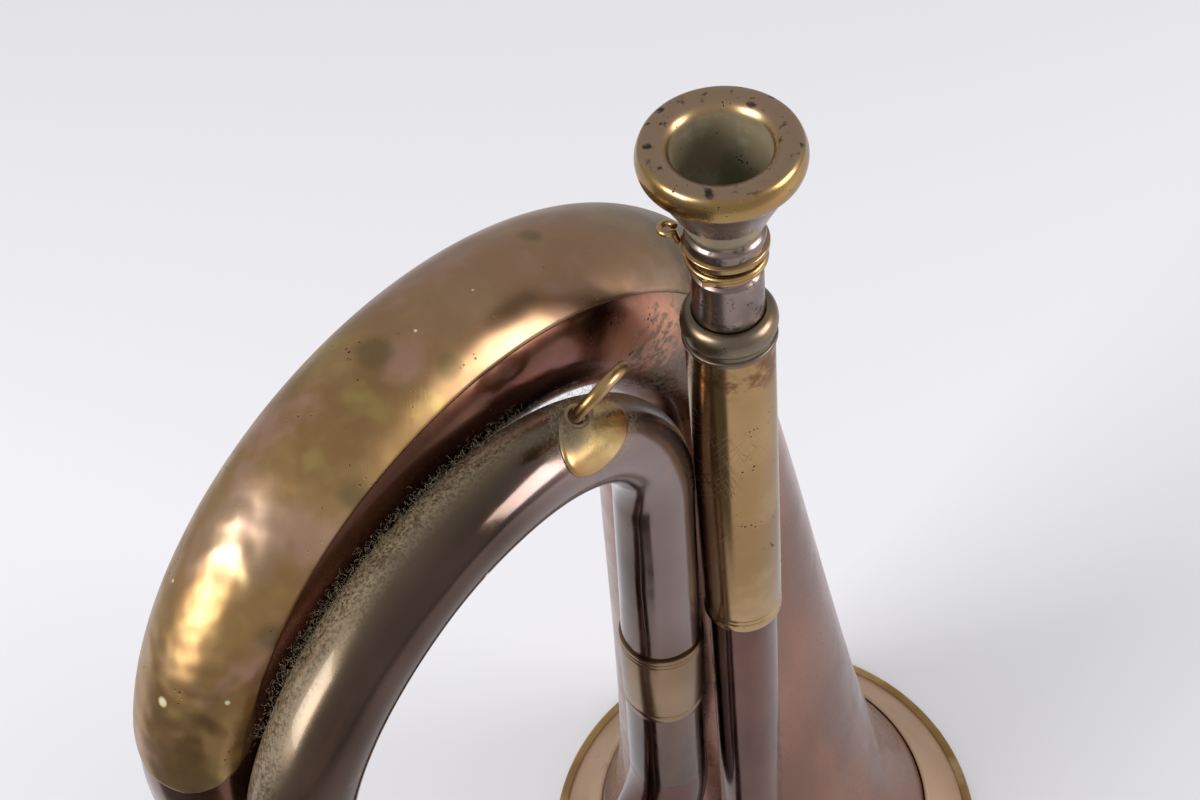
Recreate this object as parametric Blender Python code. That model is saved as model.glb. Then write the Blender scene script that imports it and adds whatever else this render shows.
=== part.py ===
"""Two-coil duty bugle, standing on its bell rim with the mouthpiece up.

Sizes are in metres. The bugle is laid out round the centre of the bell rim, with the rim on z = 0, and
the whole of it hangs on one empty, which moves the middle of its base to the world's origin.
"""

import math

import bmesh
import bpy
from mathutils import Matrix, Vector

# ---------------------------------------------------------------- driving dimensions
GAP = 0.0003  # between pieces that are soldered end to end
LAP = 0.0003  # between a brass fitting and the tube that it is sweated on
DOWN = Vector((0, 0, -1))
WALL = 0.0005  # wall of the drawn tubes
SHEET = 0.00045  # brass sheet of the guard, the garland and the saddles

# Bell: r = tail - taper * z + two flares that die away up the tube.
RIM_R = 0.0545
BELL_TAIL_R = 0.0335
BELL_TAPER = 0.087
BELL_WIDE_FLARE = 0.008
BELL_SHARP_FALL = 0.0117
BELL_WIDE_FALL = 0.0275
BELL_LEAN = Vector((-0.060, -0.016, 1.0))  # the tail leans towards the coils
BELL_TOP = 0.1948
BEAD_R = 0.0017
BELL_LIP_Z = 0.0027
GARLAND_TOP = 0.0136

# Large loop: leaves the bell tail, turns over the top and comes down as the left leg.
LOOP_TURN = math.radians(59.2)  # the coils' plane, turned from -X towards -Y
LARGE_HALF = 0.05835
LARGE_RISE = 0.04888
LARGE_LEAN = 0.00371
LARGE_START_R = 0.01590
LARGE_END_R = 0.01200
LARGE_SWELL = 0.0004  # how much fuller the bend is than its taper
LARGE_FOOT = 0.106
GUARD_START = 0.04
GUARD_END = math.radians(168)
GUARD_TONGUE = 0.32
GUARD_HALF_ANGLE = math.radians(58)  # where the guard is narrowest
GUARD_NARROWEST = 1.4
GUARD_WIDENING = 0.16
GUARD_MOST = math.radians(69)
GUARD_LIFT = 0.00055  # clears the flats of both faceted skins

# Small loop: right leg beside the mouthpipe, small bow, left leg against the large loop.
SMALL_LEG = Vector((-0.01107, -0.04010, 0.130))
SMALL_LEG_LEAN = Vector((0.035, 0.003, 1.0))
SMALL_TURN = math.radians(59.6)
SMALL_SPRING = 0.1995
SMALL_HALF = 0.0445
SMALL_RISE = 0.0376
SMALL_LEAN = -0.00406
SMALL_START_R = 0.00742
SMALL_END_R = 0.00876
SMALL_LEG_GROWTH = 0.009
SMALL_FOOT = 0.088
LEG_SETTLE = 0.025  # length over which a left leg turns upright

# Mouthpipe, its sleeve and the collar at its mouth.
PIPE = Vector((0.00556, -0.03399, 0.200))
PIPE_LEAN = Vector((0.009, 0.008, 1.0))
PIPE_R = 0.00668
PIPE_TOP = 0.2140
PIPE_FOOT = 0.084
SLEEVE_R = 0.00764
SLEEVE_FOOT = 0.1595
SLEEVE_TOP = 0.2440
COLLAR_R = 0.00825
COLLAR_LOW = 0.2396
COLLAR_HIGH = 0.2452

# Mouthpiece, as heights along its own axis.
RIM_TOP = 0.2829
MOUTH_RIM_R = 0.0135
SHANK_FOOT = 0.2160
SHANK_FOOT_R = 0.0052
SHANK_TOP_R = 0.00605
THROAT_R = 0.0019
GROOVE_Z = 0.2582
GROOVE_R = 0.0055
WIRE_R = 0.0006
EYE_R = 0.0013
EYE_OUT = 0.0032
EYE_RISE = 0.0045

# Ferrules: height above the tube and length.
FERRULE_PROUD = 0.00065
LEG_FERRULE_LOW = 0.1330
LEG_FERRULE_HIGH = 0.1560
FERRULE_LENGTH = 0.012

# Strap rings and their saddles.
RING_R = 0.0054
RING_WIRE_R = 0.00105
RING_PLAY = 0.00035
EYE_WALL = 0.0008
EYE_LENGTH = 0.0022
RING_ANGLE = math.radians(66)
RING_ROLL = math.radians(20)  # towards the player
RING_SKEW = math.radians(14.5)
RING_PITCH = math.radians(17.1)
RING_TILT = math.radians(6.5)
SADDLE_LOW = math.radians(50)
SADDLE_HIGH = math.radians(73)
SADDLE_MIDDLE = math.radians(36)
SADDLE_HALF = math.radians(46)

SIDES_LARGE = 18
SIDES_SMALL = 14
SIDES_BELL = 36
SIDES_TURNED = 20


# ---------------------------------------------------------------- materials
def material(name, colour, metallic, roughness):
    made = bpy.data.materials.new(name)
    made.use_nodes = True
    shader = made.node_tree.nodes["Principled BSDF"]
    shader.inputs["Base Color"].default_value = (*colour, 1.0)
    shader.inputs["Metallic"].default_value = metallic
    shader.inputs["Roughness"].default_value = roughness
    return made


# ---------------------------------------------------------------- shared geometry
def smoothstep(value, low, high):
    t = min(max((value - low) / (high - low), 0.0), 1.0)
    return t * t * (3 - 2 * t)


def section_axes(tangent, normal):
    """The outward and sideways directions of a cross-section."""
    side = (normal - normal.dot(tangent) * tangent).normalized()
    return tangent.cross(side), side


def tangents(centres):
    last = len(centres) - 1
    return [(centres[min(i + 1, last)] - centres[max(i - 1, 0)]).normalized() for i in range(last + 1)]


def ring_points(centre, out, side, radius, angles):
    return [centre + radius * (math.cos(a) * out + math.sin(a) * side) for a in angles]


def finish(name, mesh_data, mat, smooth_angle=35):
    """Turns a bmesh into the named object, with outward faces, under the bugle's empty."""
    bmesh.ops.recalc_face_normals(mesh_data, faces=mesh_data.faces)
    mesh = bpy.data.meshes.new(name)
    mesh_data.to_mesh(mesh)
    mesh_data.free()
    mesh.materials.append(mat)
    mesh.shade_smooth()
    mesh.set_sharp_from_angle(angle=math.radians(smooth_angle))
    made = bpy.data.objects.new(name, mesh)
    bpy.context.scene.collection.objects.link(made)
    made.parent = BUGLE
    return made


def skin(mesh_data, rings, closed_round, closed_along):
    """Quads between each ring of points and the next."""
    rows = [[mesh_data.verts.new(p) for p in ring] for ring in rings]
    count = len(rows[0])
    pairs = list(zip(rows, rows[1:])) + ([(rows[-1], rows[0])] if closed_along else [])
    for first, second in pairs:
        for i in range(count if closed_round else count - 1):
            j = (i + 1) % count
            mesh_data.faces.new((first[i], first[j], second[j], second[i]))
    return rows


def tube(name, centres, radii, mat, normal, sides, wall=WALL, ends=None):
    """A hollow tube: its outer wall, its inner wall and the two end faces, all one closed body."""
    directions = list(ends) if ends else tangents(centres)
    angles = [2 * math.pi * i / sides for i in range(sides)]
    outer, inner = [], []
    for centre, radius, tangent in zip(centres, radii, directions):
        out, side = section_axes(tangent, normal)
        outer.append(ring_points(centre, out, side, radius, angles))
        inner.append(ring_points(centre, out, side, radius - wall, angles))
    mesh_data = bmesh.new()
    skin(mesh_data, outer + inner[::-1], True, True)
    return finish(name, mesh_data, mat)


def patch(name, centres, radii, mat, normal, spans, steps, lift=LAP, sheet=SHEET):
    """A curved plate that lies on a tube, between the two angles in each span."""
    mesh_data = bmesh.new()
    loops = []
    for centre, radius, tangent, (low, high) in zip(centres, radii, tangents(centres), spans):
        out, side = section_axes(tangent, normal)
        angles = [low + (high - low) * i / steps for i in range(steps + 1)]
        under = ring_points(centre, out, side, radius + lift, angles)
        over = ring_points(centre, out, side, radius + lift + sheet, angles)
        loops.append(over + under[::-1])
    rows = skin(mesh_data, loops, True, False)
    for row in (rows[0], rows[-1]):
        for i in range(steps):
            mesh_data.faces.new((row[i], row[i + 1], row[-2 - i], row[-1 - i]))
    return finish(name, mesh_data, mat)


def turned(name, profile, mat, sides, place):
    """A ring-shaped turned piece: a closed profile of (radius, height), swept round place's z axis."""
    mesh_data = bmesh.new()
    rings = []
    for i in range(sides):
        a = 2 * math.pi * i / sides
        rings.append([place @ Vector((r * math.cos(a), r * math.sin(a), z)) for r, z in profile])
    skin(mesh_data, rings, True, True)
    return finish(name, mesh_data, mat)


def wire(name, centres, radius, mat, sides, closed):
    """A round wire along a path, closed on itself or with flat ends."""
    count = len(centres)
    mesh_data = bmesh.new()
    rings = []
    side = None
    for i, centre in enumerate(centres):
        before = centres[i - 1] if closed or i else centre
        after = centres[(i + 1) % count] if closed or i < count - 1 else centre
        tangent = (after - before).normalized()
        out, side = section_axes(tangent, side or tangent.orthogonal())
        rings.append(ring_points(centre, out, side, radius, [2 * math.pi * k / sides for k in range(sides)]))
    rows = skin(mesh_data, rings, True, closed)
    if not closed:
        mesh_data.faces.new(rows[0])
        mesh_data.faces.new(rows[-1])
    return finish(name, mesh_data, mat)


def arc_profile(centre_r, centre_z, radius, start, end, steps):
    """Points of a round edge in a turned profile, with angles in degrees from the outward direction."""
    angles = [math.radians(start + (end - start) * i / steps) for i in range(steps + 1)]
    return [(centre_r + radius * math.cos(a), centre_z + radius * math.sin(a)) for a in angles]


def spread(low, high, count):
    return [low + (high - low) * i / (count - 1) for i in range(count)]


# ---------------------------------------------------------------- centre lines
def on_line(point, lean, height):
    return point + lean * (height - point.z)


def bell_centre(height):
    """The bell stands square on its rim, and leans from just above the garland."""
    return Vector((*(BELL_LEAN * height * smoothstep(height, 0.0, 0.040)).xy, height))


def bell_radius(height):
    sharp = (RIM_R - BELL_TAIL_R - BELL_WIDE_FLARE) * math.exp(-height / BELL_SHARP_FALL)
    wide = BELL_WIDE_FLARE * math.exp(-height / BELL_WIDE_FALL)
    return BELL_TAIL_R - BELL_TAPER * height + sharp + wide


def leg_radius(height):
    return SMALL_START_R + SMALL_LEG_GROWTH * (SMALL_SPRING - height)


class Loop:
    """One coil's upper bow and its left leg, in an upright plane that runs along `along`."""

    def __init__(self, start, turn, half, rise, lean, foot):
        self.start, self.half, self.rise, self.lean, self.foot = start, half, rise, lean, foot
        self.along = Vector((-math.cos(turn), -math.sin(turn), 0))
        self.normal = Vector((math.sin(turn), -math.cos(turn), 0))

    def bow(self, angle):
        across = self.half * (1 - math.cos(angle)) + self.lean * math.sin(angle)
        return self.start + self.along * across + Vector((0, 0, self.rise * math.sin(angle)))

    def leg(self, height):
        drop = self.start.z - height
        shift = -self.lean / self.rise * LEG_SETTLE * (1 - math.exp(-drop / LEG_SETTLE))
        foot = self.start + self.along * (2 * self.half + shift)
        return Vector((foot.x, foot.y, height))


LARGE = Loop(bell_centre(BELL_TOP), LOOP_TURN, LARGE_HALF, LARGE_RISE, LARGE_LEAN, LARGE_FOOT)
SMALL_START = on_line(SMALL_LEG, SMALL_LEG_LEAN, SMALL_SPRING)
SMALL = Loop(SMALL_START, SMALL_TURN, SMALL_HALF, SMALL_RISE, SMALL_LEAN, SMALL_FOOT)


def large_radius(angle):
    turn = min(max(angle, 0.0), math.pi)
    taper = (LARGE_START_R - LARGE_END_R) * (1 + math.cos(turn)) / 2
    return LARGE_END_R + taper + LARGE_SWELL * math.sin(turn) ** 2


def small_radius(angle):
    return SMALL_START_R + (SMALL_END_R - SMALL_START_R) * min(angle / math.pi, 1.0)


def lower_bow(first, second, depth, count):
    """Points of a U-bend that hangs between the feet of two legs."""
    middle, half = (first + second) / 2, (first - second) / 2
    angles = spread(0.0, math.pi, count)
    return [middle + half * math.cos(a) - Vector((0, 0, depth * math.sin(a))) for a in angles]


def joined(centres, first, last):
    """The directions of a path whose ends stand square to the pieces that they meet."""
    return [first.normalized()] + tangents(centres)[1:-1] + [last.normalized()]


def cut_ends(centres, gap):
    """The same path, with its two end points moved in, so that the next piece has room."""
    first = centres[0] + (centres[1] - centres[0]).normalized() * gap
    last = centres[-1] + (centres[-2] - centres[-1]).normalized() * gap
    return [first] + centres[1:-1] + [last]


# ---------------------------------------------------------------- clear the scene, then the pieces
for old in list(bpy.data.objects):
    bpy.data.objects.remove(old)
BUGLE = bpy.data.objects.new("bugle_frame", None)
bpy.context.scene.collection.objects.link(BUGLE)

COPPER = material("copper", (0.36, 0.17, 0.11), 1.0, 0.28)
BRASS = material("brass", (0.52, 0.40, 0.19), 1.0, 0.32)
DARK_BRASS = material("dark_brass", (0.24, 0.20, 0.13), 1.0, 0.42)
SILVER = material("silver_plate", (0.50, 0.46, 0.42), 1.0, 0.34)

PIPE_UP = PIPE_LEAN.normalized()
PIPE_BACK = PIPE_UP.cross(Vector((1, 0, 0))).normalized()
PIPE_TURN = Matrix((PIPE_BACK.cross(PIPE_UP), PIPE_BACK, PIPE_UP)).transposed().to_4x4()
PIPE_FRAME = Matrix.Translation(on_line(PIPE, PIPE_LEAN, 0.0)) @ PIPE_TURN


def build_bell():
    start_direction = (LARGE.bow(0.02) - LARGE.bow(0.0)).normalized()
    low, high = BELL_LIP_Z, BELL_TOP - GAP
    heights = [low + (high - low) * (i / 12) ** 2.2 for i in range(13)]
    directions = [Vector((0, 0, 1)).lerp(start_direction, smoothstep(h, 0.02, high)).normalized() for h in heights]
    centres = [bell_centre(h) for h in heights]
    tube("bell", centres, [bell_radius(h) for h in heights], COPPER, LARGE.normal, SIDES_BELL, ends=directions)


def build_garland():
    """A brass band that follows the flare, and the rolled rim whose flat underside the bugle stands on."""
    upright = Matrix.Identity(4)
    over, under = [], []
    for height in spread(BELL_LIP_Z + 0.0006, GARLAND_TOP, 5):
        slope = (bell_radius(height + 0.0001) - bell_radius(height - 0.0001)) / 0.0002
        away = Vector((1, -slope)).normalized()
        centre = Vector((bell_radius(height), height))
        shift = 0.0005 * height / GARLAND_TOP  # room for the lean of the bell
        over.append(tuple(centre + away * (LAP + SHEET + shift)))
        under.append(tuple(centre + away * (LAP + shift)))
    turned("bell_garland", over + under[::-1], BRASS, SIDES_BELL, upright)
    flat = 0.0007
    round_part = arc_profile(RIM_R - BEAD_R, BEAD_R, BEAD_R, -65, 245, 7)
    profile = [(r, max(z, 0.0)) for r, z in round_part]
    profile = [(RIM_R - BEAD_R + flat, 0.0)] + profile + [(RIM_R - BEAD_R - flat, 0.0)]
    turned("bell_rim_bead", profile, BRASS, SIDES_BELL, upright)


def build_large_loop():
    bow = [LARGE.bow(a) for a in spread(0.0, math.pi, 21)]
    leg = [LARGE.leg(LARGE.start.z - d) for d in (0.012, 0.026, 0.045)] + [LARGE.leg(LARGE_FOOT)]
    radii = [large_radius(a) for a in spread(0.0, math.pi, 21)] + [LARGE_END_R] * 4
    ends = joined(bow + leg, LARGE.bow(0.02) - LARGE.bow(0.0), DOWN)
    centres = cut_ends(bow + leg, GAP / 2)
    tube("large_loop", centres, radii, COPPER, LARGE.normal, SIDES_LARGE, ends=ends)


def build_guard():
    """Brass shell on the outer side of the large bow, with a rounded tongue at each end."""
    first, last, tongue = GUARD_START, GUARD_END, GUARD_TONGUE
    steps = (0.02, 0.10, 0.25, 0.50, 0.75)
    angles = [first + tongue * k for k in steps] + spread(first + tongue, last - tongue, 16)
    angles += [last - tongue * k for k in reversed(steps)]
    spans = []
    for a in angles:
        inset = min(1.0, min(a - first, last - a) / tongue)
        wide = GUARD_HALF_ANGLE + GUARD_WIDENING * (a - GUARD_NARROWEST) ** 2
        half = min(wide, GUARD_MOST) * math.sqrt(1 - (1 - inset) ** 2)
        spans.append((-half, half))
    centres = [LARGE.bow(a) for a in angles]
    radii = [large_radius(a) for a in angles]
    patch("bow_guard", centres, radii, BRASS, LARGE.normal, spans, 8, lift=GUARD_LIFT)


def build_small_loop():
    heights = spread(SMALL_LEG_FOOT, SMALL_SPRING, 4)[:-1]
    leg = [on_line(SMALL_LEG, SMALL_LEG_LEAN, h) for h in heights]
    bow = [SMALL.bow(a) for a in spread(0.0, math.pi, 17)]
    left = [SMALL.leg(SMALL.start.z - d) for d in (0.012, 0.026, 0.045)] + [SMALL.leg(SMALL_FOOT)]
    radii = [leg_radius(h) for h in heights] + [small_radius(a) for a in spread(0.0, math.pi, 17)]
    radii += [SMALL_END_R] * len(left)
    centres = cut_ends(leg + bow + left, GAP / 2)
    ends = joined(centres, SMALL_LEG_LEAN, DOWN)
    tube("small_loop", centres, radii, COPPER, SMALL.normal, SIDES_SMALL, ends=ends)


SMALL_LEG_FOOT = LARGE_FOOT
PIPE_END = on_line(PIPE, PIPE_LEAN, PIPE_FOOT)
FIRST_BOW = lower_bow(PIPE_END, Vector((*SMALL.leg(SMALL_FOOT).xy, PIPE_FOOT)), 0.050, 13)
SECOND_BOW = lower_bow(on_line(SMALL_LEG, SMALL_LEG_LEAN, SMALL_LEG_FOOT), LARGE.leg(LARGE_FOOT), 0.0435, 13)


def build_lower_bows():
    """Two U-bends, each growing evenly from its narrower leg to its wider one."""
    first_normal = (FIRST_BOW[0] - FIRST_BOW[-1]).cross(Vector((0, 0, 1))).normalized()
    left_foot = SMALL.leg(SMALL_FOOT)
    path = cut_ends(FIRST_BOW + [left_foot], GAP / 2)
    ends = joined(path, -PIPE_LEAN, -DOWN)
    radii = spread(PIPE_R, SMALL_END_R, len(path))
    tube("first_lower_bow", path, radii, COPPER, first_normal, SIDES_SMALL, ends=ends)
    second_normal = (SECOND_BOW[0] - SECOND_BOW[-1]).cross(Vector((0, 0, 1))).normalized()
    path = cut_ends(SECOND_BOW, GAP / 2)
    radii = spread(leg_radius(SMALL_LEG_FOOT), LARGE_END_R, len(path))
    ends = joined(path, -SMALL_LEG_LEAN, -DOWN)
    tube("second_lower_bow", path, radii, COPPER, second_normal, SIDES_LARGE, ends=ends)


def sleeve_on(name, centres, radius, mat, normal, sides, proud=FERRULE_PROUD):
    """A short brass ferrule over a straight stretch of tube."""
    radii = [radius + proud] * len(centres)
    tube(name, centres, radii, mat, normal, sides, wall=proud - LAP)


def build_ferrules():
    middle = (LEG_FERRULE_LOW + LEG_FERRULE_HIGH) / 2
    path = [on_line(SMALL_LEG, SMALL_LEG_LEAN, h) for h in (LEG_FERRULE_LOW, LEG_FERRULE_HIGH)]
    sleeve_on("small_leg_ferrule", path, leg_radius(middle) + 0.0001, BRASS, SMALL.normal, SIDES_SMALL)
    rise = Vector((0, 0, FERRULE_LENGTH))
    foot = SMALL.leg(SMALL_FOOT + 0.001)
    sleeve_on("left_leg_ferrule", [foot, foot + rise], SMALL_END_R, BRASS, SMALL.normal, SIDES_SMALL)
    foot = LARGE.leg(LARGE_FOOT + 0.001)
    sleeve_on("large_leg_ferrule", [foot, foot + rise], LARGE_END_R, BRASS, LARGE.normal, SIDES_LARGE)


def build_mouthpipe():
    path = [on_line(PIPE, PIPE_LEAN, h) for h in (PIPE_TOP, 0.150, PIPE_FOOT + GAP)]
    tube("mouthpipe", path, [PIPE_R] * 3, COPPER, LARGE.normal, SIDES_SMALL)
    bore, mouth, foot = PIPE_R + LAP, SHANK_TOP_R + 0.00012, SHANK_FOOT_R + 0.0002
    step = PIPE_TOP + 0.0006
    profile = [
        (SLEEVE_R, SLEEVE_TOP),
        (SLEEVE_R, SLEEVE_FOOT),
        (bore, SLEEVE_FOOT),
        (bore, step),
        (foot, step),
        (foot, SHANK_FOOT),
        (mouth, SLEEVE_TOP),
    ]
    turned("receiver_sleeve", profile, BRASS, SIDES_TURNED, PIPE_FRAME)
    inside = SLEEVE_R + 0.0002
    half = (COLLAR_HIGH - COLLAR_LOW) / 2
    middle = (COLLAR_HIGH + COLLAR_LOW) / 2
    fat = 0.0016  # how far the bead's round edge reaches in
    bead = []
    for a in spread(math.radians(-70), math.radians(90), 6):
        reach = COLLAR_R - fat + fat * math.cos(a)
        bead.append((max(reach, inside + 0.00015) if a < 0 else reach, middle + half * math.sin(a)))
    foot, band = COLLAR_LOW - 0.0011, COLLAR_R - 0.0002  # the thin ring below the bead
    profile = [(inside, foot), (band, foot), (band, COLLAR_LOW - 0.0002)] + bead
    mouth = SHANK_TOP_R + 0.0002
    profile += [(mouth, COLLAR_HIGH), (mouth, SLEEVE_TOP + GAP), (inside, SLEEVE_TOP + GAP)]
    turned("receiver_collar", profile, DARK_BRASS, SIDES_TURNED, PIPE_FRAME)


def build_mouthpiece():
    """Outside from the rim down to the foot of the shank, then inside back up to the cup."""
    rim = arc_profile(MOUTH_RIM_R - 0.0025, RIM_TOP - 0.0025, 0.0025, -35, 150, 7)
    outside = [
        (SHANK_FOOT_R, SHANK_FOOT),
        (SHANK_TOP_R, 0.2446),
        (SHANK_TOP_R, 0.2549),
        (GROOVE_R, 0.2556),
        (GROOVE_R, 0.2600),
        (0.0068, 0.2605),
        (0.0068, 0.2632),
        (0.0057, 0.2642),
        (0.0070, 0.2670),
        (0.0084, 0.2702),
        (0.0100, 0.2740),
        (0.0117, 0.2770),
    ]
    inside = [
        (0.0079, RIM_TOP - 0.0024),
        (0.0072, 0.2765),
        (0.0060, 0.2710),
        (0.0040, 0.2655),
        (THROAT_R, 0.2610),
        (THROAT_R, 0.2570),
        (0.0036, SHANK_FOOT),
    ]
    turned("mouthpiece", outside + rim + inside, SILVER, SIDES_TURNED, PIPE_FRAME)


def build_mouthpiece_wire():
    """Brass wire wound round the groove, rising to a small flat eye for a keeper chain."""
    hoop = GROOVE_R + WIRE_R + 0.00022
    start, stop = math.radians(-75), math.radians(173)
    path = [(hoop * math.cos(a), hoop * math.sin(a), GROOVE_Z) for a in spread(start, stop, 20)]
    path += [(-hoop - EYE_OUT / 2, 0.0004, GROOVE_Z + EYE_RISE / 5)]
    for a in spread(math.radians(-60), math.radians(235), 12):
        side = -EYE_R * math.cos(a)
        path.append((-hoop - EYE_OUT - EYE_R * math.sin(a), side, GROOVE_Z + EYE_RISE))
    wire("mouthpiece_wire", [PIPE_FRAME @ Vector(p) for p in path], WIRE_R, BRASS, 6, False)


def ring_frame(centre, tangent, normal, radius, roll=0.0, skew=0.0, pitch=0.0, tilt=0.0):
    """Where a strap ring's eye sits: its pivot, its pin direction and the way that the ring stands."""
    flat_out, flat_side = section_axes(tangent, normal)
    out = flat_out * math.cos(roll) + flat_side * math.sin(roll)
    side = flat_side * math.cos(roll) - flat_out * math.sin(roll)
    flat = tangent * math.cos(skew) + side * math.sin(skew)
    pin = (flat * math.cos(pitch) + out * math.sin(pitch)).normalized()
    upright = (out - pin * pin.dot(out)).normalized()
    across = pin.cross(upright)
    across = across if across.dot(side) > 0 else -across
    stand = (upright * math.cos(tilt) + across * math.sin(tilt)).normalized()
    eye_height = EYE_WALL + RING_WIRE_R + RING_PLAY + GAP + EYE_LENGTH / 2 * math.sin(pitch)
    pivot = centre + out * (radius + LAP + SHEET + eye_height)
    return pivot, pin, stand


def build_ring(prefix, pivot, pin, stand):
    """A knuckle soldered on the saddle, and the wire ring that swings through it."""
    hole, skin_r = RING_WIRE_R + RING_PLAY, RING_WIRE_R + RING_PLAY + EYE_WALL
    place = Matrix.Translation(pivot) @ pin.to_track_quat("Z", "Y").to_matrix().to_4x4()
    half = EYE_LENGTH / 2
    profile = [(skin_r, half), (skin_r, -half), (hole, -half), (hole, half)]
    turned(prefix + "strap_eye", profile, BRASS, 14, place)
    centre = pivot + stand * RING_R
    points = []
    for i in range(16):
        a = 2 * math.pi * i / 16
        points.append(centre + RING_R * (math.cos(a) * -stand + math.sin(a) * pin))
    ring = wire(prefix + "strap_ring", points, RING_WIRE_R, BRASS, 8, True)
    ring.data.transform(Matrix.Translation(-pivot))
    ring.location = pivot


def build_strap_rings():
    spans = []
    angles = spread(SADDLE_LOW, SADDLE_HIGH, 9)
    for i, a in enumerate(angles):
        reach = SADDLE_HALF * math.sqrt(1 - ((i - 4) / 4.3) ** 2)
        spans.append((SADDLE_MIDDLE - reach, SADDLE_MIDDLE + reach))
    radii = [small_radius(a) for a in angles]
    patch("strap_saddle", [SMALL.bow(a) for a in angles], radii, BRASS, SMALL.normal, spans, 8, lift=LAP)
    tangent = (SMALL.bow(RING_ANGLE + 0.01) - SMALL.bow(RING_ANGLE - 0.01)).normalized()
    at = SMALL.bow(RING_ANGLE)
    radius = small_radius(RING_ANGLE)
    pivot, pin, stand = ring_frame(at, tangent, SMALL.normal, radius, RING_ROLL, RING_SKEW, RING_PITCH, RING_TILT)
    build_ring("", pivot, pin, stand)

    middle = len(FIRST_BOW) * 2 // 3
    normal = (FIRST_BOW[0] - FIRST_BOW[-1]).cross(Vector((0, 0, 1))).normalized()
    radii = spread(PIPE_R, SMALL_END_R, len(FIRST_BOW) + 1)
    stretch = FIRST_BOW[middle - 1:middle + 2]
    fine = [stretch[0].lerp(stretch[1], t) for t in (0.3, 0.65)] + [stretch[1]]
    fine += [stretch[1].lerp(stretch[2], t) for t in (0.35, 0.7)]
    fine_radii = [radii[middle] + 0.00025] * 5
    flip = -1 if section_axes(tangents(fine)[2], normal)[0].z > 0 else 1
    normal = normal * flip
    reaches = (0.55, 0.9, 1.0, 0.9, 0.55)
    spans = [(-math.radians(60) * k, math.radians(60) * k) for k in reaches]
    patch("lower_strap_saddle", fine, fine_radii, BRASS, normal, spans, 6, lift=LAP)
    tangent = tangents(fine)[2]
    pivot, pin, _ = ring_frame(fine[2], tangent, normal, fine_radii[2])
    hang = (Vector((0, 0, -1)) + pin * pin.z).normalized()
    build_ring("lower_", pivot, pin, hang)


def stay(name, first, first_r, second, second_r, radius):
    """A short brass post between two tubes, soldered to both."""
    way = (second - first).normalized()
    low, high = first + way * (first_r + GAP), second - way * (second_r + GAP)
    side = way.orthogonal()
    tube(name, [low, high], [radius, radius], BRASS, side, 12, wall=radius * 0.55)


def build_stays():
    height = 0.140
    pipe, bell = on_line(PIPE, PIPE_LEAN, height), bell_centre(height)
    stay("mouthpipe_stay", pipe, PIPE_R, bell, bell_radius(height), 0.0026)
    height = 0.116
    leg, bell = on_line(SMALL_LEG, SMALL_LEG_LEAN, height), bell_centre(height)
    stay("small_leg_stay", leg, leg_radius(height), bell, bell_radius(height), 0.0026)
    height = 0.150
    stay("coil_stay", SMALL.leg(height), SMALL_END_R, LARGE.leg(height), LARGE_END_R, 0.0024)


def stand_on_origin():
    """Moves the empty so that the middle of the base is the world's origin."""
    bpy.context.view_layer.update()
    corners = [o.matrix_world @ v.co for o in BUGLE.children for v in o.data.vertices]
    low = Vector(min(c[i] for c in corners) for i in range(3))
    high = Vector(max(c[i] for c in corners) for i in range(3))
    BUGLE.location = (-(low.x + high.x) / 2, -(low.y + high.y) / 2, -low.z)
    bpy.context.view_layer.update()


build_bell()
build_garland()
build_large_loop()
build_guard()
build_small_loop()
build_lower_bows()
build_ferrules()
build_mouthpipe()
build_mouthpiece()
build_mouthpiece_wire()
build_strap_rings()
build_stays()
stand_on_origin()
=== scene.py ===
# %% [markdown]
# # A two-coil duty bugle, standing on its bell
#
# The bugle is a cone of copper tube, about 1.36 m long, wound twice round and soldered to itself.
# Brass parts protect it: a guard over the large bow, ferrules on the joints, a garland round the bell.
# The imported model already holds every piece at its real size. This script gives each of them a fine
# surface and an aged finish, and then sets up a floor, lights and a camera.

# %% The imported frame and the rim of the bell
import math

import bmesh
import bpy
from mathutils import Matrix, Vector, noise


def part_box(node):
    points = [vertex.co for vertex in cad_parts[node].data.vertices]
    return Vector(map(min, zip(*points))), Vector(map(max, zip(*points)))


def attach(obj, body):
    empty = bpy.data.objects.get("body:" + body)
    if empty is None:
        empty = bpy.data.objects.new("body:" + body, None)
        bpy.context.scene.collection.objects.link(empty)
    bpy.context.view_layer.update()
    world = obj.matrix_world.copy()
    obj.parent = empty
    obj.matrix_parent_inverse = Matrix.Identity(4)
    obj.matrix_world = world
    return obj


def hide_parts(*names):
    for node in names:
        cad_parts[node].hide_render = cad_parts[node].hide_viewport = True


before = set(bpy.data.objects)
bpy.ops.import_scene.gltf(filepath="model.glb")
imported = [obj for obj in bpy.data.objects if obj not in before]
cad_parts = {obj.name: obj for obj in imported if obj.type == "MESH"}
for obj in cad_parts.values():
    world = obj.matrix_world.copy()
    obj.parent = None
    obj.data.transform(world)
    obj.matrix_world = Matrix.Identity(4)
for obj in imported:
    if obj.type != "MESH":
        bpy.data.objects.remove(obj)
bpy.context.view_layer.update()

low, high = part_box("bell_rim_bead")
RIM = Vector(((low.x + high.x) / 2, (low.y + high.y) / 2, 0.0))
print("bell rim centre", tuple(round(c, 5) for c in RIM), "radius", round((high.x - low.x) / 2, 4))

# %% [markdown]
# ## The lines that everything follows
#
# All sizes are in metres and are measured from the middle of the bell rim. One rule gives the bell's
# radius at any height. One class gives both coils, because each is an upright bow between two legs.
# Straight pieces lie on a leaning line, given by a point and a direction.

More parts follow.
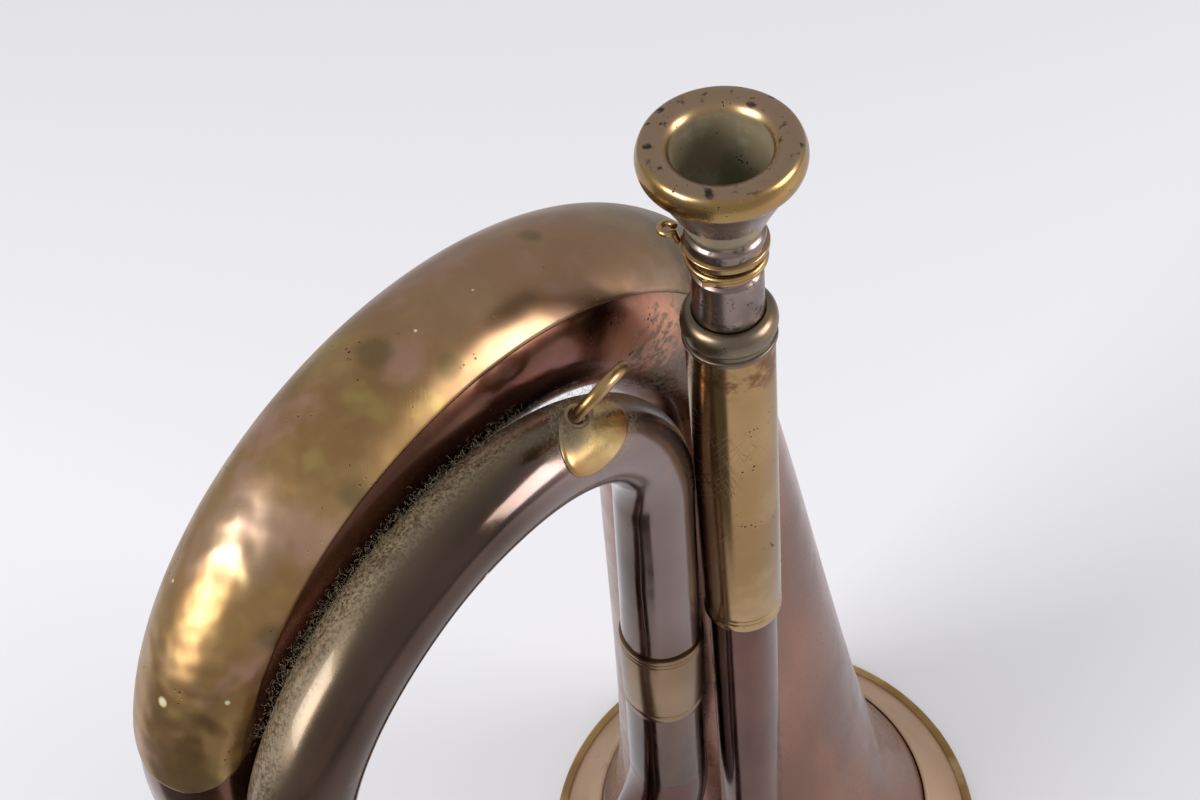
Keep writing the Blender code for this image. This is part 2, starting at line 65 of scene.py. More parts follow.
# %% Driving sizes
BELL_TOP, BELL_TAIL_R, BELL_TAPER = 0.1948, 0.0335, 0.087
SHARP_FLARE, SHARP_FALL, WIDE_FLARE, WIDE_FALL = 0.0130, 0.0117, 0.0080, 0.0275
RIM_R = (high.x - low.x) / 2
BELL_LEAN = Vector((-0.060, -0.016, 1.0))
LIP_Z, GARLAND_TOP = 0.0027, 0.0136
PIPE, PIPE_LEAN = Vector((0.00556, -0.03399, 0.200)), Vector((0.009, 0.008, 1.0))
SMALL_LEG, SMALL_LEG_LEAN = Vector((-0.01107, -0.04010, 0.130)), Vector((0.035, 0.003, 1.0))
SMALL_SPRING, LEG_FOOT, LEFT_FOOT, PIPE_FOOT = 0.1995, 0.106, 0.088, 0.084
PIPE_R, SLEEVE_R = 0.00668, 0.00764
SMALL_START_R, SMALL_END_R, LEG_GROWTH = 0.00742, 0.00876, 0.009
GUARD_START_R, GUARD_END_R, BOW_SWELL = 0.0165, 0.0130, 0.0004
LARGE_LEG_R = 0.0120
SHEET, WALL, LEG_SETTLE = 0.00045, 0.0005, 0.025
UP = Vector((0, 0, 1))


# %% [markdown]
# Each rule below is a small function of a height or an angle, so that every piece which needs the same
# line asks for it in the same place. The steps of a path come from `spread`.


# %% Lines, radii and the two coils
def smoothstep(value, start, end):
    t = min(max((value - start) / (end - start), 0.0), 1.0)
    return t * t * (3 - 2 * t)


def spread(start, end, count):
    return [start + (end - start) * i / (count - 1) for i in range(count)]


def on_line(point, lean, height):
    return RIM + point + lean * (height - point.z)


def bell_centre(height):
    return RIM + Vector((*(BELL_LEAN * height * smoothstep(height, 0.0, 0.040)).xy, height))


def bell_radius(height):
    flare = SHARP_FLARE * math.exp(-height / SHARP_FALL) + WIDE_FLARE * math.exp(-height / WIDE_FALL)
    return BELL_TAIL_R - BELL_TAPER * height + flare - 0.0006 * smoothstep(height, 0.14, BELL_TOP)


class Coil:
    """An upright bow and the leg that comes down from it, in a plane that runs along `along`."""

    def __init__(self, start, turn, half, rise, lean):
        self.start, self.half, self.rise, self.lean = start, half, rise, lean
        self.along = Vector((-math.cos(turn), -math.sin(turn), 0))
        self.normal = Vector((math.sin(turn), -math.cos(turn), 0))

    def bow(self, angle):
        across = self.half * (1 - math.cos(angle)) + self.lean * math.sin(angle)
        return self.start + self.along * across + UP * self.rise * math.sin(angle)

    def leg(self, height):
        drop = self.start.z - height
        shift = -self.lean / self.rise * LEG_SETTLE * (1 - math.exp(-drop / LEG_SETTLE))
        foot = self.start + self.along * (2 * self.half + shift)
        return Vector((foot.x, foot.y, height))


LARGE = Coil(bell_centre(BELL_TOP), math.radians(59.2), 0.05835, 0.04888, 0.00371)
SMALL = Coil(on_line(SMALL_LEG, SMALL_LEG_LEAN, SMALL_SPRING), math.radians(59.6), 0.0445, 0.0376, -0.00406)


def guard_radius(angle):
    turn = min(max(angle, 0.0), math.pi)
    taper = (GUARD_START_R - GUARD_END_R) * (1 + math.cos(turn)) / 2
    return GUARD_END_R + taper + BOW_SWELL * math.sin(turn) ** 2


def large_radius(angle):
    return guard_radius(angle) - SHEET - 0.0001


def small_radius(angle):
    return SMALL_START_R + (SMALL_END_R - SMALL_START_R) * min(angle / math.pi, 1.0)


def leg_radius(height):
    return SMALL_START_R + LEG_GROWTH * (SMALL_SPRING - height)


def on_bow(coil, radius_at, bend, around, lift=0.0):
    """A point on a bow's skin, at two angles in degrees: along the bend, and round the tube."""
    angle, round_angle = math.radians(bend), math.radians(around)
    out, side = section_axes(tangent_at(coil.bow, angle), coil.normal)
    direction = math.cos(round_angle) * out + math.sin(round_angle) * side
    return coil.bow(angle) + (radius_at(angle) + lift) * direction


def tangent_at(path, angle):
    return (path(angle + 0.01) - path(angle - 0.01)).normalized()


def section_axes(tangent, normal):
    """The directions out of the bend and across it, both square to the tube."""
    side = (normal - normal.dot(tangent) * tangent).normalized()
    return tangent.cross(side), side


print("coils start at", [tuple(round(c, 4) for c in coil.start) for coil in (LARGE, SMALL)])

# %% [markdown]
# ## Making skins
#
# Almost every piece is a stack of rings joined into a skin: rings along a bent line for a tube, or a
# flat profile turned round an axis for the mouthpiece. Each point also keeps its place on the
# straightened tube in an attribute called `tube`: out, across and along. A finish that reads it runs
# along the metal round every bend, and has no seam.


# %% Rings into meshes
def tangents(centres):
    last = len(centres) - 1
    return [(centres[min(i + 1, last)] - centres[max(i - 1, 0)]).normalized() for i in range(last + 1)]


def running_lengths(centres):
    lengths = [0.0]
    for before, after in zip(centres, centres[1:]):
        lengths.append(lengths[-1] + (after - before).length)
    return lengths


def finished(name, points, faces, tube_places, sharp_angle=38):
    """One closed, outward-facing, smooth-shaded mesh that keeps its `tube` attribute."""
    mesh = bpy.data.meshes.new(name)
    mesh.from_pydata(points, [], faces)
    attribute = mesh.attributes.new("tube", "FLOAT_VECTOR", "POINT")
    attribute.data.foreach_set("vector", [c for place in tube_places for c in place])
    work = bmesh.new()
    work.from_mesh(mesh)
    bmesh.ops.recalc_face_normals(work, faces=work.faces)
    work.to_mesh(mesh)
    work.free()
    mesh.shade_smooth()
    mesh.set_sharp_from_angle(angle=math.radians(sharp_angle))
    made = bpy.data.objects.new(name, mesh)
    bpy.context.scene.collection.objects.link(made)
    return made


def skin(name, rings, places, wrap_rows, cap_ends=False, sharp_angle=38):
    count = len(rings[0])
    faces = []
    rows = len(rings)
    for i in range(rows if wrap_rows else rows - 1):
        for k in range(count):
            a, b = i * count, (i + 1) % rows * count
            faces.append((a + k, a + (k + 1) % count, b + (k + 1) % count, b + k))
    if cap_ends:
        faces += [tuple(range(count)), tuple((rows - 1) * count + k for k in range(count))]
    points = [p for ring in rings for p in ring]
    return finished(name, points, faces, [p for row in places for p in row], sharp_angle)


def tube(name, centres, radii, normal, sides, directions=None, dent=None, wall=WALL):
    """A hollow tube along a line: its outer skin, its end faces and its inner skin."""
    directions = directions or tangents(centres)
    lengths = running_lengths(centres)
    order = list(range(len(centres)))
    rings, places = [], []
    for depth, stations in ((0.0, order), (wall, order[::-1])):
        for i in stations:
            out, side = section_axes(directions[i], normal)
            ring, row = [], []
            for k in range(sides):
                a = 2 * math.pi * k / sides
                radius = radii[i] - depth
                push = dent(a, lengths[i]) if dent else 0.0
                ring.append(centres[i] + (radius + push) * (math.cos(a) * out + math.sin(a) * side))
                row.append((radius * math.cos(a), radius * math.sin(a), lengths[i]))
            rings.append(ring)
            places.append(row)
    return skin(name, rings, places, wrap_rows=True)


def turned(name, profile, sides, place, sharp_angle=38):
    """A closed profile of (radius, height), swept round the z axis of `place`."""
    rings, places = [], []
    for i in range(sides):
        a = 2 * math.pi * i / sides
        row = [Vector((r * math.cos(a), r * math.sin(a), z)) for r, z in profile]
        rings.append([place @ p for p in row])
        places.append([tuple(p) for p in row])
    return skin(name, rings, places, wrap_rows=True, sharp_angle=sharp_angle)


def patch(name, centres, radii, normal, spans, lift, sheet, steps=40, crown=None):
    """A curved plate on a tube. Its thickness rounds off towards its edges, and `crown` can dome it."""
    rings, places = [], []
    lengths = running_lengths(centres)
    for i, (tangent, (start, end)) in enumerate(zip(tangents(centres), spans)):
        out, side = section_axes(tangent, normal)
        over, under, over_row, under_row = [], [], [], []
        for k in range(steps + 1):
            share = k / steps
            a = start + (end - start) * share
            from_edge = min(share, 1 - share) * (end - start) * radii[i]
            from_edge = min(from_edge, lengths[i], lengths[-1] - lengths[i])
            thick = sheet * math.sqrt(1 - (1 - min(from_edge / (1.4 * sheet), 1.0)) ** 2) + 0.00002
            if crown:
                thick += crown(i / (len(centres) - 1), share)
            direction = math.cos(a) * out + math.sin(a) * side
            over.append(centres[i] + (radii[i] + lift + thick) * direction)
            under.append(centres[i] + (radii[i] + lift) * direction)
            row = (radii[i] * math.cos(a), radii[i] * math.sin(a), lengths[i])
            over_row.append(row)
            under_row.append(row)
        rings.append(over + under[::-1])
        places.append(over_row + under_row[::-1])
    return skin(name, rings, places, wrap_rows=False, cap_ends=True, sharp_angle=60)


def rounded(corners, steps=5):
    """The profile through corners (radius, height, fillet), with each corner rounded by its fillet."""
    profile = []
    count = len(corners)
    for i, (r, z, fillet) in enumerate(corners):
        here = Vector((r, z))
        before = Vector(corners[i - 1][:2]) - here
        after = Vector(corners[(i + 1) % count][:2]) - here
        reach = min(fillet, before.length * 0.49, after.length * 0.49)
        if reach < 1e-6:
            profile.append((r, z))
            continue
        start, end = here + before.normalized() * reach, here + after.normalized() * reach
        for t in spread(0.0, 1.0, steps):
            profile.append(tuple(start.lerp(here, t).lerp(here.lerp(end, t), t)))
    return profile


def keep(piece, body, material, slot, *nodes):
    """Gives a finished piece its finish and its body, and hides the CAD nodes that it stands for. The slot is
    not used.
    """
    piece.data.materials.clear()
    piece.data.materials.append(material)
    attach(piece, body)
    if nodes:
        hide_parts(*nodes)
    print(f"{piece.name}: {len(piece.data.polygons)} faces, rides on {body}")
    return piece


# %% [markdown]
# ## Finishes
#
# Old copper and brass are never one colour. Handling polishes them in clouds, damp leaves dark pits,
# and cleaning leaves fine scratches. Those three effects, and the dust that settles on top, are each a
# node group, so that every finish uses the same ones with its own strengths. The shader stays in the
# material, which keeps each finish's own metal colours.


# %% Short ways to add shader nodes
def node(tree, kind, inputs=None, **settings):
    made = tree.nodes.new(kind)
    for key, value in settings.items():
        setattr(made, key, value)
    for key, value in (inputs or {}).items():
        if isinstance(value, bpy.types.NodeSocket):
            tree.links.new(value, made.inputs[key])
        else:
            made.inputs[key].default_value = value
    return made


def maths(tree, operation, first, second=0.0, third=0.0):
    made = node(tree, "ShaderNodeMath", {0: first, 1: second, 2: third}, operation=operation)
    return made.outputs[0]


def blend_colours(tree, share, first, second):
    first = (*first, 1.0) if isinstance(first, tuple) else first
    second = (*second, 1.0) if isinstance(second, tuple) else second
    made = node(tree, "ShaderNodeMix", {0: share, 6: first, 7: second}, data_type="RGBA")
    return made.outputs[2]


def fade(tree, value, start, end, low_value=0.0, high_value=1.0):
    made = node(
        tree,
        "ShaderNodeMapRange",
        {"Value": value, "From Min": start, "From Max": end, "To Min": low_value, "To Max": high_value},
        interpolation_type="SMOOTHSTEP",
    )
    return made.outputs[0]


def clouds(tree, vector, scale, detail=3.0, shift=0.0, roughness=0.55):
    return node(
        tree,
        "ShaderNodeTexNoise",
        {"Vector": vector, "W": shift, "Scale": scale, "Detail": detail, "Roughness": roughness},
        noise_dimensions="4D",
    ).outputs[0]


def stretched(tree, vector, scale, shift=(0.0, 0.0, 0.0)):
    return node(tree, "ShaderNodeMapping", {"Vector": vector, "Scale": scale, "Location": shift}).outputs[0]


def new_group(name, inputs, outputs):
    """A shader node group with named sockets, its input node and its output node."""
    group = bpy.data.node_groups.new(name, "ShaderNodeTree")
    for socket, kind, value in inputs:
        made = group.interface.new_socket(name=socket, in_out="INPUT", socket_type=kind)
        if value is not None:
            made.default_value = value
    for socket in outputs:
        group.interface.new_socket(name=socket, in_out="OUTPUT", socket_type="NodeSocketFloat")
    return group, group.nodes.new("NodeGroupInput"), group.nodes.new("NodeGroupOutput")


VECTOR_IN = ("Vector", "NodeSocketVector", None)


# %% [markdown]
# A node group is made once and placed in many materials, each with its own scale and amount. The four
# below put out only masks, from 0 to 1. Each finish decides which colour goes under a mask.


# %% The four shared effects
def make_tarnish():
    """Handling clouds: broad patches with finer mottling inside them."""
    inputs = [VECTOR_IN, ("Scale", "NodeSocketFloat", 40.0), ("Shift", "NodeSocketFloat", 0.0)]
    group, given, result = new_group("tarnish_clouds", inputs, ["Broad", "Fine"])
    vector, scale, shift = given.outputs[0], given.outputs[1], given.outputs[2]
    broad = clouds(group, vector, scale, 2.0, shift, 0.5)
    fine = clouds(group, vector, maths(group, "MULTIPLY", scale, 6.0), 6.0, shift, 0.62)
    group.links.new(fade(group, broad, 0.36, 0.66), result.inputs[0])
    group.links.new(fade(group, fine, 0.34, 0.70), result.inputs[1])
    return group


def make_pits():
    """Small dark corrosion pits, in loose clusters."""
    inputs = [VECTOR_IN, ("Scale", "NodeSocketFloat", 900.0), ("Amount", "NodeSocketFloat", 0.5)]
    group, given, result = new_group("corrosion_pits", inputs, ["Mask"])
    vector, scale, amount = given.outputs[0], given.outputs[1], given.outputs[2]
    cells = node(group, "ShaderNodeTexVoronoi", {"Vector": vector, "Scale": scale, "Randomness": 1.0})
    cluster = fade(group, clouds(group, vector, maths(group, "MULTIPLY", scale, 0.16), 3.0), 0.45, 0.75)
    size = maths(group, "MULTIPLY", maths(group, "MULTIPLY", cluster, amount), 0.42)
    inside = maths(group, "SUBTRACT", size, cells.outputs["Distance"])
    group.links.new(fade(group, inside, 0.0, 0.07), result.inputs[0])
    return group


def make_scratches():
    """Fine straight scratches in two directions."""
    inputs = [VECTOR_IN, ("Scale", "NodeSocketFloat", 300.0), ("Amount", "NodeSocketFloat", 0.5)]
    group, given, result = new_group("cleaning_scratches", inputs, ["Mask"])
    vector, scale, amount = given.outputs[0], given.outputs[1], given.outputs[2]
    marks = []
    for turn, stretch in ((0.5, 9.0), (-0.9, 14.0)):
        turned_vector = node(
            group, "ShaderNodeMapping", {"Vector": vector, "Rotation": (turn, turn * 0.7, 0.2)}
        ).outputs[0]
        thin = stretched(group, turned_vector, (stretch, 1.0, 0.55))
        field = clouds(group, thin, scale, 2.0, turn, 0.5)
        line = maths(group, "ABSOLUTE", maths(group, "SUBTRACT", field, 0.5))
        marks.append(fade(group, line, 0.0, 0.012, 1.0, 0.0))
    gate = fade(group, clouds(group, vector, maths(group, "MULTIPLY", scale, 0.5), 2.0, 7.0), 0.5, 0.72)
    both = maths(group, "MAXIMUM", marks[0], marks[1])
    gated = maths(group, "MULTIPLY", maths(group, "MULTIPLY", both, gate), amount)
    group.links.new(gated, result.inputs[0])
    return group


def make_specks():
    """A few round pale specks of dust."""
    inputs = [VECTOR_IN, ("Scale", "NodeSocketFloat", 120.0), ("Size", "NodeSocketFloat", 0.05)]
    group, given, result = new_group("dust_specks", inputs, ["Mask"])
    vector, scale, size = given.outputs[0], given.outputs[1], given.outputs[2]
    cells = node(group, "ShaderNodeTexVoronoi", {"Vector": vector, "Scale": scale, "Randomness": 1.0})
    pick = node(group, "ShaderNodeSeparateColor", {"Color": cells.outputs["Color"]}).outputs[0]
    chosen = fade(group, pick, 0.80, 0.98, 0.0, 1.0)
    inside = maths(group, "SUBTRACT", maths(group, "MULTIPLY", size, chosen), cells.outputs["Distance"])
    group.links.new(fade(group, inside, 0.0, 0.008), result.inputs[0])
    return group


TARNISH, PITS, SCRATCHES, SPECKS = make_tarnish(), make_pits(), make_scratches(), make_specks()
print("effects:", [group.name for group in (TARNISH, PITS, SCRATCHES, SPECKS)])


# %% [markdown]
# A finish is built like a real one, from the bottom up: metal first, then tarnish, stains, pits and
# dust. The class below keeps the colour, roughness and metal so far, and each layer mixes over them.


# %% A finish under construction
class Finish:
    """One aged metal: its shader, its two coordinates and its layers, added from the bottom up."""

    def __init__(self, name, colour, roughness, metallic=1.0):
        self.material = bpy.data.materials.new(name)
        self.material.use_nodes = True
        self.tree = self.material.node_tree
        self.shader = self.tree.nodes["Principled BSDF"]
        self.shader.inputs["Metallic"].default_value = metallic
        self.place = node(self.tree, "ShaderNodeTexCoord").outputs["Object"]
        self.tube = node(self.tree, "ShaderNodeAttribute", attribute_name="tube").outputs["Vector"]
        parts = node(self.tree, "ShaderNodeSeparateXYZ", {0: self.tube})
        self.out, self.across, self.along = parts.outputs
        self.colour = node(self.tree, "ShaderNodeRGB").outputs[0]
        self.colour.default_value = (*colour, 1.0)
        self.roughness = node(self.tree, "ShaderNodeValue").outputs[0]
        self.roughness.default_value = roughness
        self.metal = None
        self.height = None

    def group(self, group, **values):
        made = node(self.tree, "ShaderNodeGroup", node_tree=group)
        self.tree.links.new(values.pop("vector", self.place), made.inputs["Vector"])
        for key, value in values.items():
            made.inputs[key.title()].default_value = value
        return made.outputs

    def times(self, *values):
        result = values[0]
        for value in values[1:]:
            result = maths(self.tree, "MULTIPLY", result, value)
        return result

    def fade(self, value, start, end, low_value=0.0, high_value=1.0):
        return fade(self.tree, value, start, end, low_value, high_value)

    def band(self, value, start, end, soft):
        """1 between start and end, with soft edges."""
        rise = fade(self.tree, value, start - soft, start + soft)
        fall = fade(self.tree, value, end - soft, end + soft, 1.0, 0.0)
        return self.times(rise, fall)

    def angle(self):
        """The angle round the tube, from -pi to pi, 0 on the outside of the bend."""
        return maths(self.tree, "ARCTAN2", self.across, self.out)

    def radius(self):
        squares = maths(self.tree, "MULTIPLY", self.out, self.out)
        squares = maths(self.tree, "ADD", squares, maths(self.tree, "MULTIPLY", self.across, self.across))
        return maths(self.tree, "SQRT", squares)

    def near(self, point, reach, ragged=0.0):
        """1 at a point of the object, falling to 0 at `reach` from it, with a ragged edge."""
        away = node(self.tree, "ShaderNodeVectorMath", {0: self.place, 1: tuple(point)}, operation="DISTANCE")
        distance = away.outputs["Value"]
        if ragged:
            wobble = clouds(self.tree, self.place, 140.0, 4.0, 3.0)
            distance = maths(self.tree, "ADD", distance, self.times(wobble, ragged))
            distance = maths(self.tree, "SUBTRACT", distance, ragged / 2)
        return self.fade(distance, reach * 0.35, reach, 1.0, 0.0)

    def layer(self, mask, colour=None, roughness=None, metal=None, strength=1.0):
        share = self.times(mask, strength) if strength != 1.0 else mask
        if colour:
            self.colour = blend_colours(self.tree, share, self.colour, colour)
        if roughness is not None:
            made = node(self.tree, "ShaderNodeMix", {0: share, 2: self.roughness, 3: roughness})
            self.roughness = made.outputs[0]
        if metal is not None:
            start = self.metal if self.metal is not None else 1.0
            self.metal = node(self.tree, "ShaderNodeMix", {0: share, 2: start, 3: metal}).outputs[0]
        return self

    def bump(self, mask, amount):
        """Adds a height, in metres, to the surface."""
        raised = self.times(mask, amount)
        self.height = raised if self.height is None else maths(self.tree, "ADD", self.height, raised)
        return self

    def done(self):
        self.tree.links.new(self.colour, self.shader.inputs["Base Color"])
        self.tree.links.new(self.roughness, self.shader.inputs["Roughness"])
        if self.metal is not None:
            self.tree.links.new(self.metal, self.shader.inputs["Metallic"])
        if self.height is not None:
            heights = {"Height": self.height, "Strength": 1.0, "Distance": 1.0}
            made = node(self.tree, "ShaderNodeBump", heights)
            self.tree.links.new(made.outputs[0], self.shader.inputs["Normal"])
        print("finish", self.material.name, "with", len(self.tree.nodes), "nodes")
        return self.material


# %% [markdown]
# ## Copper
#
# The tubes are drawn copper. Years of air have turned them from red-brown to a purple brown, and
# hands have kept them glossy, so they reflect like dark glass and turn almost white at a glancing
# angle. A dark metallic colour does the first, and a thin clear coat, the film of old wax and grease,
# does the second.


# %% Aged copper
def aged_copper(name, dark, middle, warm, roughness=0.16, scale=26.0, shift=0.0, film=0.2):
    finish = Finish(name, middle, roughness)
    finish.shader.inputs["Coat Weight"].default_value = film
    finish.shader.inputs["Coat Roughness"].default_value = 0.07
    cloud = finish.group(TARNISH, scale=scale, shift=shift)
    finish.layer(cloud["Broad"], dark, roughness * 0.8)
    streaks = stretched(finish.tree, finish.tube, (60.0, 60.0, 9.0))
    streaky = finish.fade(clouds(finish.tree, streaks, 1.0, 4.0, shift + 2.0), 0.52, 0.74)
    finish.layer(streaky, warm, strength=0.55)
    finish.layer(cloud["Fine"], roughness=roughness * 1.9, strength=0.5)
    spots = finish.fade(clouds(finish.tree, finish.place, 95.0, 2.0, shift + 5.0), 0.735, 0.77)
    finish.layer(spots, (0.42, 0.15, 0.06), roughness * 1.5, strength=0.8)
    pits = finish.group(PITS, scale=800.0, amount=0.42)["Mask"]
    finish.layer(pits, (0.03, 0.02, 0.017), 0.6)
    finish.bump(pits, -0.00003)
    finish.layer(finish.group(SPECKS, scale=95.0, size=0.05)["Mask"], (0.62, 0.58, 0.50), 0.9, 0.0)
    finish.bump(clouds(finish.tree, finish.place, 70.0, 2.0, shift), 0.00020)
    return finish


bell_copper = aged_copper(
    "bell_copper", (0.190, 0.098, 0.072), (0.280, 0.142, 0.100), (0.40, 0.155, 0.078), 0.24, 22.0, 1.0
).done()
leg_colours = (0.070, 0.026, 0.018), (0.118, 0.047, 0.033), (0.185, 0.070, 0.042)
leg_copper = aged_copper("leg_copper", *leg_colours, 0.15, 30.0, 4.0, film=0.25).done()


# %% [markdown]
# The large bow shows its copper below the guard: dark red-brown, with a magenta tint painted brighter as a
# highlight band where the light catches it, and a rubbed bright place with black spots close to the
# mouthpipe.


# %% Copper of the large bow
def blot_size(finish, size):
    """The size of a blot, which varies from place to place."""
    return finish.times(finish.fade(clouds(finish.tree, finish.place, 260.0, 2.0, 2.0), 0.44, 0.72), size)


def make_large_bow_copper():
    dark, middle, warm = (0.068, 0.026, 0.015), (0.135, 0.055, 0.032), (0.24, 0.095, 0.048)
    finish = aged_copper("large_bow_copper", dark, middle, warm, roughness=0.19, scale=34.0, shift=9.0)
    tree = finish.tree
    # Painted highlight: a brighter band of the magenta tarnish, where the inner side of the bend catches the
    # light.
    magenta_highlight_band = finish.band(finish.angle(), math.radians(74), math.radians(99), 0.10)
    uneven = finish.fade(clouds(tree, stretched(tree, finish.tube, (70.0, 70.0, 16.0)), 1.0, 4.0), 0.35, 0.62)
    finish.layer(finish.times(magenta_highlight_band, uneven), (0.30, 0.105, 0.105), 0.22, strength=0.7)
    rubbed = finish.near(on_bow(LARGE, large_radius, 48, 102), 0.017, 0.010)
    finish.layer(rubbed, (0.62, 0.27, 0.15), 0.38, 0.75, strength=0.9)
    near_spots = finish.near(on_bow(LARGE, large_radius, 54, 95), 0.015, 0.008)
    cells = node(tree, "ShaderNodeTexVoronoi", {"Vector": finish.place, "Scale": 900.0})
    inside = maths(tree, "SUBTRACT", blot_size(finish, 0.42), cells.outputs["Distance"])
    blots = finish.fade(inside, 0.0, 0.06)
    finish.layer(finish.times(blots, near_spots), (0.012, 0.010, 0.012), 0.5)
    for bend, around, reach in ((31, 75, 0.024), (33, 95, 0.020)):
        grimy = finish.near(on_bow(LARGE, large_radius, bend, around), reach, 0.016)
        flecks = finish.fade(clouds(tree, finish.place, 620.0, 5.0, 1.0, 0.7), 0.46, 0.60)
        finish.layer(finish.times(grimy, flecks), (0.20, 0.165, 0.115), 0.85, 0.25, strength=0.8)
    return finish.done()


large_bow_copper = make_large_bow_copper()

# %% [markdown]
# The small bow has the most varied copper: olive and dusty on top, where nobody wipes it, pinkish grey
# on the flank that faces the player, lightened there into a painted sheen, and orange where the hand rubs it.
# Painted shade darkens its top along the gap to the large bow.


# %% Copper of the small bow
def make_small_bow_copper():
    dark, middle, warm = (0.050, 0.030, 0.019), (0.098, 0.058, 0.042), (0.19, 0.085, 0.048)
    finish = aged_copper("small_bow_copper", dark, middle, warm, 0.14, 30.0, 13.0, film=0.3)
    tree = finish.tree
    angle = finish.angle()
    olive = finish.band(angle, math.radians(-95), math.radians(22), 0.35)
    bend_only = finish.band(finish.along, 0.085, 0.215, 0.012)
    finish.layer(finish.times(olive, bend_only), (0.105, 0.076, 0.043), 0.32, 0.85, strength=0.8)
    # Painted sheen: the pinkish-grey tarnish of the inner flank is lightened to stand in for its gloss.
    mauve = finish.band(angle, math.radians(34), math.radians(150), 0.25)
    inner = finish.band(finish.along, 0.055, 0.150, 0.010)
    finish.layer(finish.times(mauve, inner), (0.185, 0.125, 0.115), 0.17, 0.75, strength=0.75)
    stains = finish.fade(clouds(tree, finish.place, 120.0, 5.0, 2.0, 0.6), 0.52, 0.70)
    near_saddle = finish.near(on_bow(SMALL, small_radius, 45, 50), 0.020, 0.010)
    finish.layer(finish.times(near_saddle, stains), (0.42, 0.18, 0.085), 0.30)
    dusty = finish.band(angle, math.radians(-85), math.radians(0), 0.30)
    near_ring = finish.near(on_bow(SMALL, small_radius, 60, -5), 0.016, 0.008)
    dusty = maths(tree, "MAXIMUM", finish.times(dusty, bend_only), near_ring)
    # Painted shade: the small bow's top is darkened along the gap to the large bow and beside the sleeve.
    for bend, around in ((34, -30), (48, -48), (60, -60)):
        shaded = finish.near(on_bow(SMALL, small_radius, bend, around), 0.010, 0.012)
        finish.layer(shaded, (0.042, 0.028, 0.018), 0.50, 0.6, strength=0.85)
    grain = finish.fade(clouds(tree, finish.place, 1500.0, 3.0, 3.0, 0.8), 0.30, 0.66)
    drift = finish.fade(clouds(tree, finish.place, 120.0, 3.0, 6.0), 0.20, 0.52)
    finish.layer(finish.times(dusty, grain, drift), (0.215, 0.165, 0.098), 0.8, 0.1, strength=0.85)
    return finish.done()


small_bow_copper = make_small_bow_copper()

# %% [markdown]
# ## Brass
#
# Brass goes olive and gold-brown, with pinkish and yellow bloom where it has been polished thin. Thin
# parts such as the rolled rim and the strap ring stay brighter, because they are rubbed most.


# %% Aged brass
def aged_brass(name, dark, middle, bright, roughness, scale, shift, scratched, pitted):
    finish = Finish(name, middle, roughness)
    tree = finish.tree
    cloud = finish.group(TARNISH, scale=scale, shift=shift)
    finish.layer(cloud["Broad"], dark, roughness * 1.15)
    blooms = finish.fade(clouds(tree, finish.place, scale * 1.7, 4.0, shift + 3.0), 0.50, 0.72)
    finish.layer(blooms, bright, roughness * 0.8, strength=0.75)
    finish.layer(cloud["Fine"], roughness=roughness * 1.5, strength=0.45)
    stains = finish.fade(clouds(tree, finish.place, scale * 4.0, 5.0, shift + 8.0, 0.62), 0.60, 0.74)
    finish.layer(stains, (0.33, 0.17, 0.07), roughness * 1.3, strength=0.45)
    pits = finish.group(PITS, scale=1000.0, amount=pitted)["Mask"]
    finish.layer(pits, (0.05, 0.035, 0.02), 0.6)
    finish.bump(pits, -0.00003)
    if scratched:
        marks = finish.group(SCRATCHES, scale=60.0, amount=scratched)["Mask"]
        finish.layer(marks, (0.07, 0.05, 0.03), 0.5)
        finish.bump(marks, -0.00002)
    finish.layer(finish.group(SPECKS, scale=80.0, size=0.055)["Mask"], (0.70, 0.66, 0.56), 0.9, 0.0)
    return finish


# Along the bend and round the tube in degrees, and the size in metres.
GUARD_SPECKS = ((150, 4, 0.0011), (146, 48, 0.0006), (134, -25, 0.0004), (88, 10, 0.0004), (78, 12, 0.0003))
GUARD_STAINS = ((134, 60, 0.0035), (64, -2, 0.0030), (94, 1, 0.0040), (88, 40, 0.0030), (110, 52, 0.0040))


